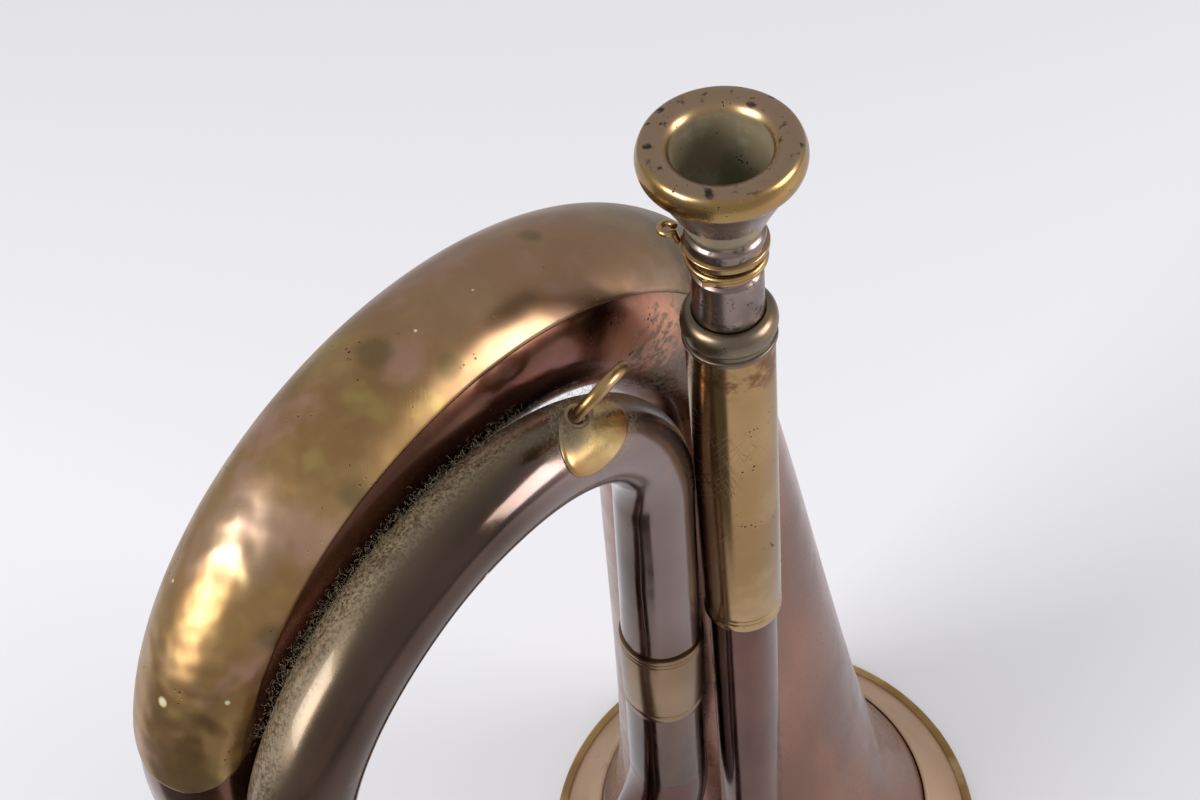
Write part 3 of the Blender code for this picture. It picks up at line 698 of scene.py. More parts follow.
def make_guard_brass():
    dark, middle, bright = (0.250, 0.148, 0.062), (0.345, 0.208, 0.086), (0.44, 0.30, 0.14)
    finish = aged_brass("guard_brass", dark, middle, bright, 0.31, 30.0, 2.0, scratched=0.25, pitted=0.7)
    tree = finish.tree
    bloom = clouds(tree, finish.place, 75.0, 3.0, 11.0)
    pink = finish.fade(bloom, 0.52, 0.66)
    yellow = finish.fade(bloom, 0.46, 0.34)
    finish.layer(pink, (0.54, 0.33, 0.27), strength=0.4)
    finish.layer(yellow, (0.44, 0.36, 0.11), strength=0.4)
    rosy_top = finish.near(LARGE.bow(math.radians(62)) + UP * 0.012, 0.040, 0.012)
    finish.layer(rosy_top, (0.300, 0.180, 0.120), 0.26, strength=0.6)
    smoky = finish.near(LARGE.bow(math.radians(20)) + UP * 0.010, 0.034, 0.020)
    finish.layer(smoky, (0.17, 0.13, 0.095), 0.42, strength=0.7)
    from_middle = maths(tree, "ABSOLUTE", finish.angle())
    edge = finish.band(from_middle, math.radians(66.0), math.radians(70.0), 0.02)
    finish.layer(edge, (0.10, 0.065, 0.035), 0.4, strength=0.6)
    for bend, around, size in GUARD_SPECKS:
        at = on_bow(LARGE, guard_radius, bend, around)
        finish.layer(finish.near(at, size), (0.42, 0.38, 0.24), 0.9, 0.0)
    for bend, around, size in GUARD_STAINS:
        at = on_bow(LARGE, guard_radius, bend, around)
        finish.layer(finish.near(at, size, size), (0.13, 0.095, 0.045), 0.4, strength=0.6)
    glare = finish.near(on_bow(LARGE, guard_radius, 122, 5), 0.011, 0.012)
    finish.layer(glare, (0.47, 0.335, 0.250), 0.30, strength=0.5)
    # Painted shade: the guard is darkened near its junction with the sleeve.
    painted_junction_shade = finish.near(on_bow(LARGE, guard_radius, 26, 50), 0.020, 0.024)
    finish.layer(painted_junction_shade, (0.060, 0.038, 0.022), 0.42, strength=0.8)
    hammered = clouds(tree, finish.place, 150.0, 1.0, 4.0)
    finish.bump(clouds(tree, finish.place, 42.0, 2.0, 6.0), 0.0011)
    lower = finish.near(LARGE.bow(math.radians(140)), 0.045)
    finish.bump(finish.times(hammered, lower), 0.0008)
    return finish.done()


guard_brass = make_guard_brass()

# %% [markdown]
# The other brass pieces use the same recipe with their own colours. Two of them get something more: the
# sleeve has a red-brown stain below the collar, and dust has settled on the upper half of the saddle.


# %% Brass of the smaller pieces
def make_sleeve_brass():
    dark, middle, bright = (0.265, 0.160, 0.068), (0.355, 0.230, 0.105), (0.45, 0.32, 0.16)
    finish = aged_brass("sleeve_brass", dark, middle, bright, 0.17, 34.0, 5.0, scratched=1.0, pitted=0.75)
    top_stain = finish.band(finish.along, 0.2300, 0.2420, 0.0035)
    ragged = finish.fade(clouds(finish.tree, finish.place, 230.0, 6.0, 4.0, 0.7), 0.42, 0.60)
    finish.layer(finish.times(top_stain, ragged), (0.15, 0.065, 0.03), 0.34, strength=0.9)
    return finish.done()


def make_saddle_brass():
    dark, middle, bright = (0.30, 0.165, 0.065), (0.44, 0.30, 0.125), (0.56, 0.42, 0.19)
    finish = aged_brass("saddle_brass", dark, middle, bright, 0.24, 90.0, 9.0, 0.0, 0.6)
    settled = finish.near(on_bow(SMALL, small_radius, 67, 16), 0.0062, 0.0028)
    finish.layer(settled, (0.150, 0.112, 0.066), 0.75, 0.2, strength=0.9)
    return finish.done()


sleeve_brass, saddle_brass = make_sleeve_brass(), make_saddle_brass()
# Name, dark, middle and bright colour, roughness, scale and shift of the clouds, scratches, pits.
PLAIN_BRASS = (
    ("garland_brass", (0.42, 0.28, 0.175), (0.56, 0.375, 0.25), (0.62, 0.42, 0.26), 0.36, 24, 8, 0.0, 0.3),
    ("bright_brass", (0.25, 0.14, 0.055), (0.37, 0.225, 0.092), (0.50, 0.34, 0.16), 0.26, 60, 3, 0.0, 0.5),
    ("ferrule_brass", (0.185, 0.115, 0.062), (0.265, 0.175, 0.1), (0.36, 0.25, 0.15), 0.2, 40, 7, 0.5, 0.4),
    ("collar_bronze", (0.1, 0.088, 0.062), (0.165, 0.125, 0.088), (0.26, 0.165, 0.09), 0.3, 70, 6, 0.0, 0.9),
    ("dusty_brass", (0.12, 0.085, 0.05), (0.17, 0.12, 0.07), (0.26, 0.19, 0.11), 0.6, 90, 4, 0.0, 0.9),
)
garland_brass, bright_brass, ferrule_brass, collar_bronze, dusty_brass = (
    aged_brass(*row).done() for row in PLAIN_BRASS
)

# %% [markdown]
# ## Silver plate
#
# The mouthpiece is brass under silver. The plate has tarnished to a greyish mauve, and lips and
# fingers have worn through it on the rim, so brass shows at the outer edge and on the bite. The
# inside of the cup has gone olive. All of this follows the radius and the height of the turned shape.


# %% Worn silver plate
def wavering(finish, size):
    """A wobble of `size`, as large up as down, which keeps a worn edge from being a perfect circle."""
    field = clouds(finish.tree, finish.place, 170.0, 4.0, 4.0, 0.6)
    return maths(finish.tree, "MULTIPLY", maths(finish.tree, "SUBTRACT", field, 0.5), size * 2)


def make_silver_plate():
    finish = Finish("silver_plate", (0.230, 0.172, 0.150), 0.27)
    tree = finish.tree
    cloud = finish.group(TARNISH, scale=95.0, shift=2.0)
    finish.layer(cloud["Broad"], (0.105, 0.078, 0.066), 0.36, strength=0.8)
    polished = finish.fade(clouds(tree, finish.place, 260.0, 5.0, 5.0, 0.65), 0.50, 0.70)
    finish.layer(polished, (0.275, 0.215, 0.190), 0.24)
    blackened = finish.fade(clouds(tree, finish.place, 330.0, 5.0, 9.0, 0.6), 0.56, 0.66)
    finish.layer(blackened, (0.060, 0.048, 0.043), 0.5)
    radius, height = finish.radius(), finish.along
    brass, worn = (0.32, 0.200, 0.075), clouds(tree, finish.place, 160.0, 4.0, 7.0)
    top = finish.fade(height, 0.2775, 0.2790)
    front = finish.fade(maths(tree, "ADD", finish.across, wavering(finish, 0.006)), 0.0035, -0.0040)
    edge = finish.fade(maths(tree, "ADD", radius, wavering(finish, 0.0016)), 0.0119, 0.0128)
    finish.layer(top, (0.300, 0.205, 0.130), 0.30)
    blots = finish.fade(clouds(tree, finish.place, 420.0, 4.0, 12.0), 0.56, 0.66)
    finish.layer(finish.times(top, blots), (0.050, 0.035, 0.028), 0.5)
    finish.layer(finish.times(top, edge, front), brass, 0.24)
    finish.layer(finish.times(top, edge, finish.fade(worn, 0.45, 0.6)), brass, 0.26, strength=0.6)
    bite = finish.band(radius, 0.0080, 0.0088, 0.00025)
    finish.layer(finish.times(top, bite), (0.36, 0.240, 0.110), 0.28, strength=0.7)
    cup = finish.times(finish.fade(radius, 0.0082, 0.0078), finish.fade(height, 0.2640, 0.2660))
    finish.layer(cup, (0.250, 0.205, 0.125), 0.45, 0.35)
    mould = finish.fade(clouds(tree, finish.place, 210.0, 5.0, 15.0, 0.65), 0.50, 0.68)
    finish.layer(finish.times(cup, mould), (0.36, 0.33, 0.24), 0.45, strength=0.7)
    green = finish.fade(clouds(tree, finish.place, 110.0, 3.0, 19.0), 0.52, 0.66)
    finish.layer(finish.times(cup, green), (0.130, 0.140, 0.075), 0.45, strength=0.7)
    disc_height = finish.band(height, 0.2603, 0.2617, 0.0002)
    lower_disc = finish.times(disc_height, finish.fade(radius, 0.0062, 0.0066))
    finish.layer(lower_disc, brass, 0.24, strength=0.85)
    lathe_lines = stretched(tree, finish.tube, (30, 30, 6000))
    rings = node(tree, "ShaderNodeTexNoise", {"Vector": lathe_lines, "Scale": 1.0})
    finish.bump(rings.outputs[0], 0.00001)
    pits = finish.group(PITS, scale=1300.0, amount=0.9)["Mask"]
    finish.layer(pits, (0.035, 0.027, 0.022), 0.6)
    finish.bump(pits, -0.00005)
    return finish.done()


silver_plate = make_silver_plate()


# %% [markdown]
# Lint is cotton fibre that has gone brown with dust and grease. It is matt and has no shine of its own.


# %% Lint
def make_lint_brown():
    finish = Finish("lint_brown", (0.25, 0.20, 0.12), 0.95, metallic=0.0)
    grain = finish.fade(clouds(finish.tree, finish.place, 700.0, 4.0, 1.0, 0.7), 0.35, 0.65)
    finish.layer(grain, tuple(0.55 * c for c in (0.25, 0.20, 0.12)), 0.95)
    return finish.done()


lint_brown = make_lint_brown()
print("finishes ready:", len(bpy.data.materials))

# %% [markdown]
# ## Bell
#
# The bell is beaten and spun from sheet: a straight cone with two flares that die away up the tube.
# Because one rule gives its radius, a geometry node tree bends a flat grid into it. The first half of
# the grid's rows is the outer skin and the second half is the inner one.


# %% Node trees that build geometry
def shape_tree(name, inputs):
    tree = bpy.data.node_groups.new(name, "GeometryNodeTree")
    tree.interface.new_socket(name="Geometry", in_out="INPUT", socket_type="NodeSocketGeometry")
    tree.interface.new_socket(name="Geometry", in_out="OUTPUT", socket_type="NodeSocketGeometry")
    for socket, kind in inputs:
        tree.interface.new_socket(name=socket, in_out="INPUT", socket_type=kind)
    return tree, tree.nodes.new("NodeGroupInput"), tree.nodes.new("NodeGroupOutput")


def close_tree(tree, geometry, material, result):
    """The end of every tree: instances are made real and the material is set."""
    real = node(tree, "GeometryNodeRealizeInstances", {0: geometry})
    coloured = node(tree, "GeometryNodeSetMaterial", {"Geometry": real.outputs[0], "Material": material})
    tree.links.new(coloured.outputs[0], result.inputs[0])
    return tree


def polyline(name, points, closed=False):
    """A path as loose edges, for a node tree to turn into a curve."""
    mesh = bpy.data.meshes.new(name)
    count = len(points)
    edges = [(i, (i + 1) % count) for i in range(count if closed else count - 1)]
    mesh.from_pydata(points, edges, [])
    return mesh


def grown(name, tree, values, path=None, sharp_angle=38):
    """Runs a node tree once and keeps its result as one plain mesh."""
    start = path or bpy.data.meshes.new(name + "_start")
    maker = bpy.data.objects.new(name + "_maker", start)
    bpy.context.scene.collection.objects.link(maker)
    modifier = maker.modifiers.new("shape", "NODES")
    modifier.node_group = tree
    for socket in tree.interface.items_tree:
        if socket.in_out == "INPUT" and socket.name in values:
            modifier[socket.identifier] = values[socket.name]
    graph = bpy.context.evaluated_depsgraph_get()
    mesh = bpy.data.meshes.new_from_object(maker.evaluated_get(graph))
    bpy.data.objects.remove(maker)
    mesh.name = name
    work = bmesh.new()
    work.from_mesh(mesh)
    bmesh.ops.recalc_face_normals(work, faces=work.faces)
    work.to_mesh(mesh)
    work.free()
    mesh.shade_smooth()
    mesh.set_sharp_from_angle(angle=math.radians(sharp_angle))
    made = bpy.data.objects.new(name, mesh)
    bpy.context.scene.collection.objects.link(made)
    return made


# %% [markdown]
# The tree turns the rows of a grid into heights and its columns into angles. The rows go up the outside
# and come back down the inside, so the wall closes itself at the lip and at the top.


# %% The flare as a node tree
def flared_tube_tree():
    number, whole = "NodeSocketFloat", "NodeSocketInt"
    inputs = [("Rows", whole), ("Sides", whole), ("Lip", number), ("Top", number), ("Tail radius", number)]
    inputs += [("Taper", number), ("Sharp flare", number), ("Sharp fall", number), ("Wide flare", number)]
    inputs += [("Wide fall", number), ("Wall", number), ("Lean", "NodeSocketVector")]
    inputs += [("End lean", "NodeSocketVector"), ("Material", "NodeSocketMaterial")]
    tree, given, result = shape_tree("flared_tube", inputs)
    take = given.outputs
    both = maths(tree, "MULTIPLY", take["Rows"], 2.0)
    grid = node(
        tree,
        "GeometryNodeMeshGrid",
        {
            "Size X": 1.0,
            "Size Y": 1.0,
            "Vertices X": maths(tree, "ADD", take["Sides"], 1.0),
            "Vertices Y": maths(tree, "ADD", both, 1.0),
        },
    )
    position = node(tree, "GeometryNodeInputPosition").outputs[0]
    flat = node(tree, "ShaderNodeSeparateXYZ", {0: position}).outputs
    turn = maths(tree, "MULTIPLY", maths(tree, "ADD", flat[0], 0.5), 2 * math.pi)
    row = maths(tree, "ROUND", maths(tree, "MULTIPLY", maths(tree, "ADD", flat[1], 0.5), both))
    past = maths(tree, "GREATER_THAN", row, maths(tree, "SUBTRACT", take["Rows"], 0.5))
    before_end = maths(tree, "LESS_THAN", row, maths(tree, "SUBTRACT", both, 0.5))
    inner = maths(tree, "MULTIPLY", past, before_end)
    going_up = maths(tree, "MODULO", row, both)
    coming_down = maths(tree, "SUBTRACT", maths(tree, "SUBTRACT", both, 1.0), row)
    step = node(tree, "ShaderNodeMix", {0: inner, 2: going_up, 3: coming_down}).outputs[0]
    share = maths(tree, "DIVIDE", step, maths(tree, "SUBTRACT", take["Rows"], 1.0))
    reach = maths(tree, "SUBTRACT", take["Top"], take["Lip"])
    height = maths(tree, "MULTIPLY_ADD", maths(tree, "POWER", share, 1.7), reach, take["Lip"])

    radius = maths(tree, "SUBTRACT", take["Tail radius"], maths(tree, "MULTIPLY", take["Taper"], height))
    for flare, fall in (("Sharp flare", "Sharp fall"), ("Wide flare", "Wide fall")):
        falls = maths(tree, "DIVIDE", height, take[fall])
        decay = maths(tree, "EXPONENT", maths(tree, "MULTIPLY", falls, -1.0))
        radius = maths(tree, "MULTIPLY_ADD", take[flare], decay, radius)
    thinner = fade(tree, height, 0.14, take["Top"], 0.0, 0.0006)
    radius = maths(tree, "SUBTRACT", radius, thinner)
    radius = maths(tree, "SUBTRACT", radius, maths(tree, "MULTIPLY", inner, take["Wall"]))

    x = maths(tree, "MULTIPLY", radius, maths(tree, "COSINE", turn))
    y = maths(tree, "MULTIPLY", radius, maths(tree, "SINE", turn))
    lean = node(tree, "ShaderNodeSeparateXYZ", {0: take["Lean"]}).outputs
    end_lean = node(tree, "ShaderNodeSeparateXYZ", {0: take["End lean"]}).outputs
    along = maths(tree, "MULTIPLY", height, fade(tree, height, 0.0, 0.040))
    tip = maths(tree, "MULTIPLY_ADD", x, end_lean[0], maths(tree, "MULTIPLY", y, end_lean[1]))
    tipped = maths(tree, "MULTIPLY", tip, fade(tree, height, 0.02, take["Top"]))
    place = node(
        tree,
        "ShaderNodeCombineXYZ",
        {
            0: maths(tree, "MULTIPLY_ADD", lean[0], along, x),
            1: maths(tree, "MULTIPLY_ADD", lean[1], along, y),
            2: maths(tree, "SUBTRACT", height, tipped),
        },
    ).outputs[0]
    tube_place = node(tree, "ShaderNodeCombineXYZ", {0: x, 1: y, 2: height}).outputs[0]
    stored = node(
        tree,
        "GeometryNodeStoreNamedAttribute",
        {"Geometry": grid.outputs[0], "Name": "tube", "Value": tube_place},
        data_type="FLOAT_VECTOR",
        domain="POINT",
    )
    bent = node(tree, "GeometryNodeSetPosition", {"Geometry": stored.outputs[0], "Position": place})
    closed = node(tree, "GeometryNodeMergeByDistance", {"Geometry": bent.outputs[0], "Distance": 0.000002})
    return close_tree(tree, closed.outputs[0], take["Material"], result)


START_LEAN = (LARGE.bow(0.01) - LARGE.bow(0.0)).normalized()
bell = grown(
    "bell_skin",
    flared_tube_tree(),
    {
        "Rows": 130,
        "Sides": 200,
        "Lip": LIP_Z,
        "Top": BELL_TOP,
        "Tail radius": BELL_TAIL_R,
        "Taper": BELL_TAPER,
        "Sharp flare": SHARP_FLARE,
        "Sharp fall": SHARP_FALL,
        "Wide flare": WIDE_FLARE,
        "Wide fall": WIDE_FALL,
        "Wall": WALL,
        "Lean": (BELL_LEAN.x, BELL_LEAN.y, 0.0),
        "End lean": (START_LEAN.x, START_LEAN.y, 0.0),
        "Material": bell_copper,
    },
)
bell.data.transform(Matrix.Translation(RIM))
keep(bell, "bugle", bell_copper, "copper", "bell")

# %% [markdown]
# The mouth of the bell is thin, so a brass garland is sweated round it, and the edge is rolled over a
# wire into a bead. The bead has a narrow flat below, which the bugle stands on.


# %% Garland and rolled rim
def make_garland():
    over, under = [], []
    for height in spread(LIP_Z - 0.0004, GARLAND_TOP, 40):
        slope = (bell_radius(height + 0.0001) - bell_radius(height - 0.0001)) / 0.0002
        away = Vector((1, -slope)).normalized()
        centre = Vector((bell_radius(height), height))
        from_top = min((GARLAND_TOP - height) / 0.0005, 1.0)
        thick = 0.0006 * math.sqrt(1 - (1 - from_top) ** 2) + 0.0003
        over.append(tuple(centre + away * thick))
        under.append(tuple(centre + away * 0.00005))
    return turned("garland_band", over + under[::-1], 220, Matrix.Translation(RIM), 60)


def make_rim_bead():
    bead, flat = 0.0017, 0.0007
    angles = [math.radians(a) for a in spread(-66.0, 246.0, 40)]
    profile = [(RIM_R - bead + bead * math.cos(a), max(bead + bead * math.sin(a), 0.0)) for a in angles]
    profile += [(RIM_R - bead - flat, 0.0), (RIM_R - bead + flat, 0.0)]
    return turned("rim_bead", profile, 240, Matrix.Translation(RIM), 50)


keep(make_garland(), "bugle", garland_brass, "brass", "bell_garland")
keep(make_rim_bead(), "bugle", bright_brass, "brass", "bell_rim_bead")

# %% [markdown]
# ## Large bow and its guard
#
# The bell's tail runs straight into the large bow. Tubes like this are drawn over a mandrel, filled
# with pitch or lead and bent, so the section stays round but the surface is never quite even. The
# brass guard is half a shell, beaten to fit the outside of the bend, with a rounded tongue at each end.


# %% Dents and the large bow
def dents(seed, size, depth):
    """A gentle unevenness, as a radius change at an angle and a length."""

    def push(angle, length):
        place = Vector((math.cos(angle), math.sin(angle), length / size + seed))
        return depth * noise.noise(place * 1.3)

    return push


def make_large_loop():
    angles = spread(0.0, math.pi, 150)
    feet = [LARGE.start.z - (LARGE.start.z - LEG_FOOT) * t for t in spread(0.02, 1.0, 40)]
    centres = [LARGE.bow(a) for a in angles] + [LARGE.leg(z) for z in feet]
    leg_r = large_radius(math.pi)
    radii = [large_radius(a) for a in angles]
    radii += [leg_r + (LARGE_LEG_R - leg_r) * smoothstep(LARGE.start.z - z, 0.0, 0.04) for z in feet]
    return tube("large_bow", centres, radii, LARGE.normal, 96, dent=dents(3.0, 0.030, 0.00012))


keep(make_large_loop(), "bugle", large_bow_copper, "copper", "large_loop")


# %% [markdown]
# The guard is narrowest near the top of the bend and wider towards both ends. Its outline is an arc in
# angle and length, so the plate is made as rows across the tube whose width follows that arc.


# %% The guard
def make_guard():
    first, last, tongue = 0.04, math.radians(165.8), 0.27
    ends = [tongue * (1 - math.cos(a)) for a in spread(0.02, math.pi / 2, 26)]
    angles = [first + step for step in ends] + spread(first + tongue, last - tongue, 170)[1:-1]
    angles += [last - step for step in reversed(ends)]
    spans = []
    for a in angles:
        inset = min(1.0, min(a - first, last - a) / tongue)
        wide = min(math.radians(58) + 0.16 * (a - 1.4) ** 2, math.radians(68))
        half = wide * math.sqrt(max(1 - (1 - inset) ** 2, 0.0001))
        turn = math.radians(14) * smoothstep(a, math.radians(140), last)
        spans.append((turn - half, turn + half))
    centres = [LARGE.bow(a) for a in angles]
    radii = [large_radius(a) for a in angles]
    return patch("guard_shell", centres, radii, LARGE.normal, spans, 0.0001, SHEET, steps=72)


keep(make_guard(), "bugle", guard_brass, "brass", "bow_guard")

# %% [markdown]
# ## Small bow, legs and lower bows
#
# The small bow comes up beside the mouthpipe, turns over in front of the large one and goes down
# against it. Two lower bows join the legs below, so that the tube is one way from mouthpipe to bell.


# %% Small loop
def make_small_loop():
    heights = spread(LEG_FOOT, SMALL_SPRING, 50)[:-1]
    angles = spread(0.0, math.pi, 130)
    feet = [SMALL.start.z - (SMALL.start.z - LEFT_FOOT) * t for t in spread(0.02, 1.0, 45)]
    centres = [on_line(SMALL_LEG, SMALL_LEG_LEAN, z) for z in heights]
    centres += [SMALL.bow(a) for a in angles] + [SMALL.leg(z) for z in feet]
    radii = [leg_radius(z) for z in heights] + [small_radius(a) for a in angles] + [SMALL_END_R] * len(feet)
    return tube("small_bow", centres, radii, SMALL.normal, 80, dent=dents(8.0, 0.022, 0.00010))


keep(make_small_loop(), "bugle", small_bow_copper, "copper", "small_loop")


# %% [markdown]
# A lower bow is half an ellipse that hangs between two legs. It stays simple, because it is the part of
# the bugle that is seen least.


# %% Lower bows and the mouthpipe
def lower_bow(first, second, depth, count=70):
    middle, half = (first + second) / 2, (first - second) / 2
    return [middle + half * math.cos(a) - UP * depth * math.sin(a) for a in spread(0.0, math.pi, count)]


PIPE_END = on_line(PIPE, PIPE_LEAN, PIPE_FOOT)
left_foot = SMALL.leg(LEFT_FOOT)
FIRST_BOW = lower_bow(PIPE_END, Vector((left_foot.x, left_foot.y, PIPE_FOOT)), 0.050)
SECOND_BOW = lower_bow(on_line(SMALL_LEG, SMALL_LEG_LEAN, LEG_FOOT), LARGE.leg(LEG_FOOT), 0.0435)


def make_lower_bow(name, path, start_r, end_r):
    normal = (path[0] - path[-1]).cross(UP).normalized()
    radii = spread(start_r, end_r, len(path))
    return tube(name, path, radii, normal, 72)


first_bow = make_lower_bow("first_bow", FIRST_BOW + [left_foot], PIPE_R, SMALL_END_R)
second_bow = make_lower_bow("second_bow", SECOND_BOW, leg_radius(LEG_FOOT), LARGE_LEG_R)
pipe_path = [on_line(PIPE, PIPE_LEAN, z) for z in spread(0.2140, PIPE_FOOT, 40)]
mouthpipe = tube("mouthpipe_tube", pipe_path, [PIPE_R] * 40, LARGE.normal, 72)
keep(first_bow, "bugle", leg_copper, "copper", "first_lower_bow")
keep(second_bow, "bugle", leg_copper, "copper", "second_lower_bow")
keep(mouthpipe, "bugle", leg_copper, "copper", "mouthpipe")

# %% [markdown]
# ## Ferrules, sleeve and collar
#
# Every joint between tubes is covered by a brass ferrule, turned with fine lines near its ends. The
# sleeve on the mouthpipe is the longest of them: it holds the mouthpiece's taper, and a dark bronze
# collar stiffens its mouth.


# %% Turned brass on a line
def frame_on(point, lean):
    """A frame whose z axis runs along a leaning line, with its origin where the line meets z = 0."""
    up = lean.normalized()
    back = up.cross(Vector((1, 0, 0))).normalized()
    turn = Matrix((back.cross(up), back, up)).transposed().to_4x4()
    return Matrix.Translation(on_line(point, lean, 0.0)) @ turn


def lined(radius, bore, start, end, lines, depth=0.00014):
    """The profile of a ferrule with engraved lines."""
    soft = 0.00018
    corners = [(bore, start, 0.0), (radius, start, soft)]
    for z in lines:
        corners += [(radius, z - 0.00028, 0.0001), (radius - depth, z, 0.0), (radius, z + 0.00028, 0.0001)]
    corners += [(radius, end, soft), (bore, end, 0.0)]
    return rounded(corners, 3)


PIPE_FRAME, LEG_FRAME = frame_on(PIPE, PIPE_LEAN), frame_on(SMALL_LEG, SMALL_LEG_LEAN)
ferrule_r = leg_radius(0.1445) + 0.00045
leg_lines = (0.1350, 0.1532, 0.1543)
leg_profile = lined(ferrule_r, ferrule_r - 0.0006, 0.133, 0.1555, leg_lines)
leg_ferrule = turned("leg_ferrule", leg_profile, 100, LEG_FRAME)
keep(leg_ferrule, "bugle", ferrule_brass, "brass", "small_leg_ferrule")
for name, cad, foot, radius in (
    ("left_ferrule", "left_leg_ferrule", SMALL.leg(LEFT_FOOT + 0.001), SMALL_END_R),
    ("large_ferrule", "large_leg_ferrule", LARGE.leg(LEG_FOOT + 0.001), LARGE_LEG_R),
):
    shape = lined(radius + 0.00062, radius + 0.0001, 0.0, 0.012, (0.0015, 0.0105))
    keep(turned(name, shape, 100, Matrix.Translation(foot)), "bugle", ferrule_brass, "brass", cad)

sleeve_corners = lined(SLEEVE_R, PIPE_R + 0.0001, 0.1595, 0.2440, (0.1617, 0.1629))[:-1]
sleeve_corners += [(0.00617, 0.2440), (0.0054, 0.2162), (0.0054, 0.2146), (PIPE_R + 0.0001, 0.2146)]
sleeve = turned("sleeve", sleeve_corners, 110, PIPE_FRAME)
keep(sleeve, "bugle", sleeve_brass, "brass", "receiver_sleeve")


# %% [markdown]
# The collar is a heavy bead on a thinner ring, so its profile is an arc on top of a few corners.


# %% The collar
def make_collar():
    half, middle = 0.0028, 0.2424
    angles = spread(-1.15, 1.45, 26)
    bead = [(0.00825 - 0.0021 * (1 - math.cos(a)), middle + half * math.sin(a)) for a in angles]
    ring = [(SLEEVE_R + 0.0001, 0.2385, 0.0), (0.0081, 0.2385, 0.0003), (0.0081, 0.2394, 0.0002)]
    corners = ring + [(0.0078, 0.23955, 0.0)] + [(r, z, 0.0) for r, z in bead]
    corners += [(0.00625, 0.2452, 0.0003), (0.00625, 0.2441, 0.0), (SLEEVE_R + 0.0001, 0.2441, 0.0)]
    return turned("collar_bead", rounded(corners, 4), 110, PIPE_FRAME, 50)


keep(make_collar(), "bugle", collar_bronze, "dark_brass", "receiver_collar")

# %% [markdown]
# ## Mouthpiece and its wire
#
# A cup mouthpiece is turned from one bar: rim, cup, throat and shank. A groove below the cup holds a
# brass wire, twisted to an eye that once took a keeper chain. The wire turns freely in the groove.


# %% Mouthpiece
def make_mouthpiece():
    corners = [
        (0.0052, 0.2160, 0.0002),
        (0.00605, 0.2446, 0.0),
        (0.00605, 0.2549, 0.0004),
        (0.0055, 0.2554, 0.0),
        (0.0055, 0.2597, 0.0),
        (0.00715, 0.2603, 0.0003),
        (0.00715, 0.2614, 0.0002),
        (0.0066, 0.2617, 0.0),
        (0.0066, 0.2636, 0.0004),
        (0.0058, 0.2645, 0.0008),
        (0.0084, 0.2702, 0.0020),
        (0.0117, 0.2768, 0.0006),
        (0.0131, 0.2781, 0.0006),
        (0.0135, 0.2800, 0.0016),
        (0.0126, 0.2827, 0.0020),
        (0.0104, 0.2830, 0.0012),
        (0.0088, 0.2822, 0.0008),
        (0.0079, 0.2810, 0.0007),
        (0.0077, 0.2786, 0.0014),
        (0.0072, 0.2745, 0.0025),
        (0.0056, 0.2692, 0.0025),
        (0.0036, 0.2650, 0.0020),
        (0.0021, 0.2626, 0.0008),
        (0.0019, 0.2570, 0.0010),
        (0.0036, 0.2160, 0.0),
    ]
    return turned("mouthpiece_turning", rounded(corners, 9), 160, PIPE_FRAME, 40)


keep(make_mouthpiece(), "mouthpiece_body", silver_plate, "silver_plate", "mouthpiece")


# %% [markdown]
# Wires and rings are a circle swept along a path, which is what Curve to Mesh does. One tree serves the
# keeper wire and both strap rings, with the wire radius and the spacing of its steps as inputs.


# %% A wire that follows a path
def wire_tree():
    inputs = [("Wire radius", "NodeSocketFloat"), ("Sides", "NodeSocketInt"), ("Spacing", "NodeSocketFloat")]
    tree, given, result = shape_tree("wire_on_path", inputs + [("Material", "NodeSocketMaterial")])
    take = given.outputs
    curve = node(tree, "GeometryNodeMeshToCurve", {0: take["Geometry"]})
    even = node(tree, "GeometryNodeResampleCurve", {"Curve": curve.outputs[0]})
    even.mode = "LENGTH"
    tree.links.new(take["Spacing"], even.inputs["Length"])
    circle = node(
        tree, "GeometryNodeCurvePrimitiveCircle", {"Resolution": take["Sides"], "Radius": take["Wire radius"]}
    )
    round_wire = node(
        tree,
        "GeometryNodeCurveToMesh",
        {"Curve": even.outputs[0], "Profile Curve": circle.outputs[0], "Fill Caps": True},
    )
    return close_tree(tree, round_wire.outputs[0], take["Material"], result)


WIRE_TREE = wire_tree()


def wire(name, points, radius, material, closed=False, sides=20, spacing=0.00022):
    values = {"Wire radius": radius, "Sides": sides, "Spacing": spacing, "Material": material}
    return grown(name, WIRE_TREE, values, polyline(name + "_path", points, closed))


# %% [markdown]
# The wire goes a little over once round the groove, then out to a small eye. Its points are in the
# mouthpiece's own frame, and they are tipped with it at the end.


# %% The keeper wire
def make_keeper():
    groove, gauge, hoop = 0.2580, 0.0006, 0.0063
    path = [Vector((hoop + 0.0010, 0, 0)), Vector((hoop + 0.0004, 0, 0))]
    start = math.radians(-96)
    path = [Matrix.Rotation(start + turn, 3, "Z") @ p for p, turn in zip(path, (-0.30, -0.14))]
    points = [Vector((p.x, p.y, groove - gauge * 0.7)) for p in path]
    stop = math.radians(173) + 2 * math.pi
    for a in spread(start, stop, 150):
        rise = (a - start) / (stop - start)
        points.append(Vector((hoop * math.cos(a), hoop * math.sin(a), groove + gauge * (2.0 * rise - 0.7))))
    eye, out, rise = 0.0012, 0.0030, 0.0045
    points += [Vector((-hoop - out * 0.5, 0.0004, groove + rise * 0.3))]
    for a in spread(math.radians(-60), math.radians(240), 40):
        points.append(Vector((-hoop - out - eye * math.sin(a), -eye * math.cos(a), groove + rise)))
    return wire("keeper_wire", [PIPE_FRAME @ p for p in points], gauge, bright_brass)


keep(make_keeper(), "wire_body", bright_brass, "brass", "mouthpiece_wire")

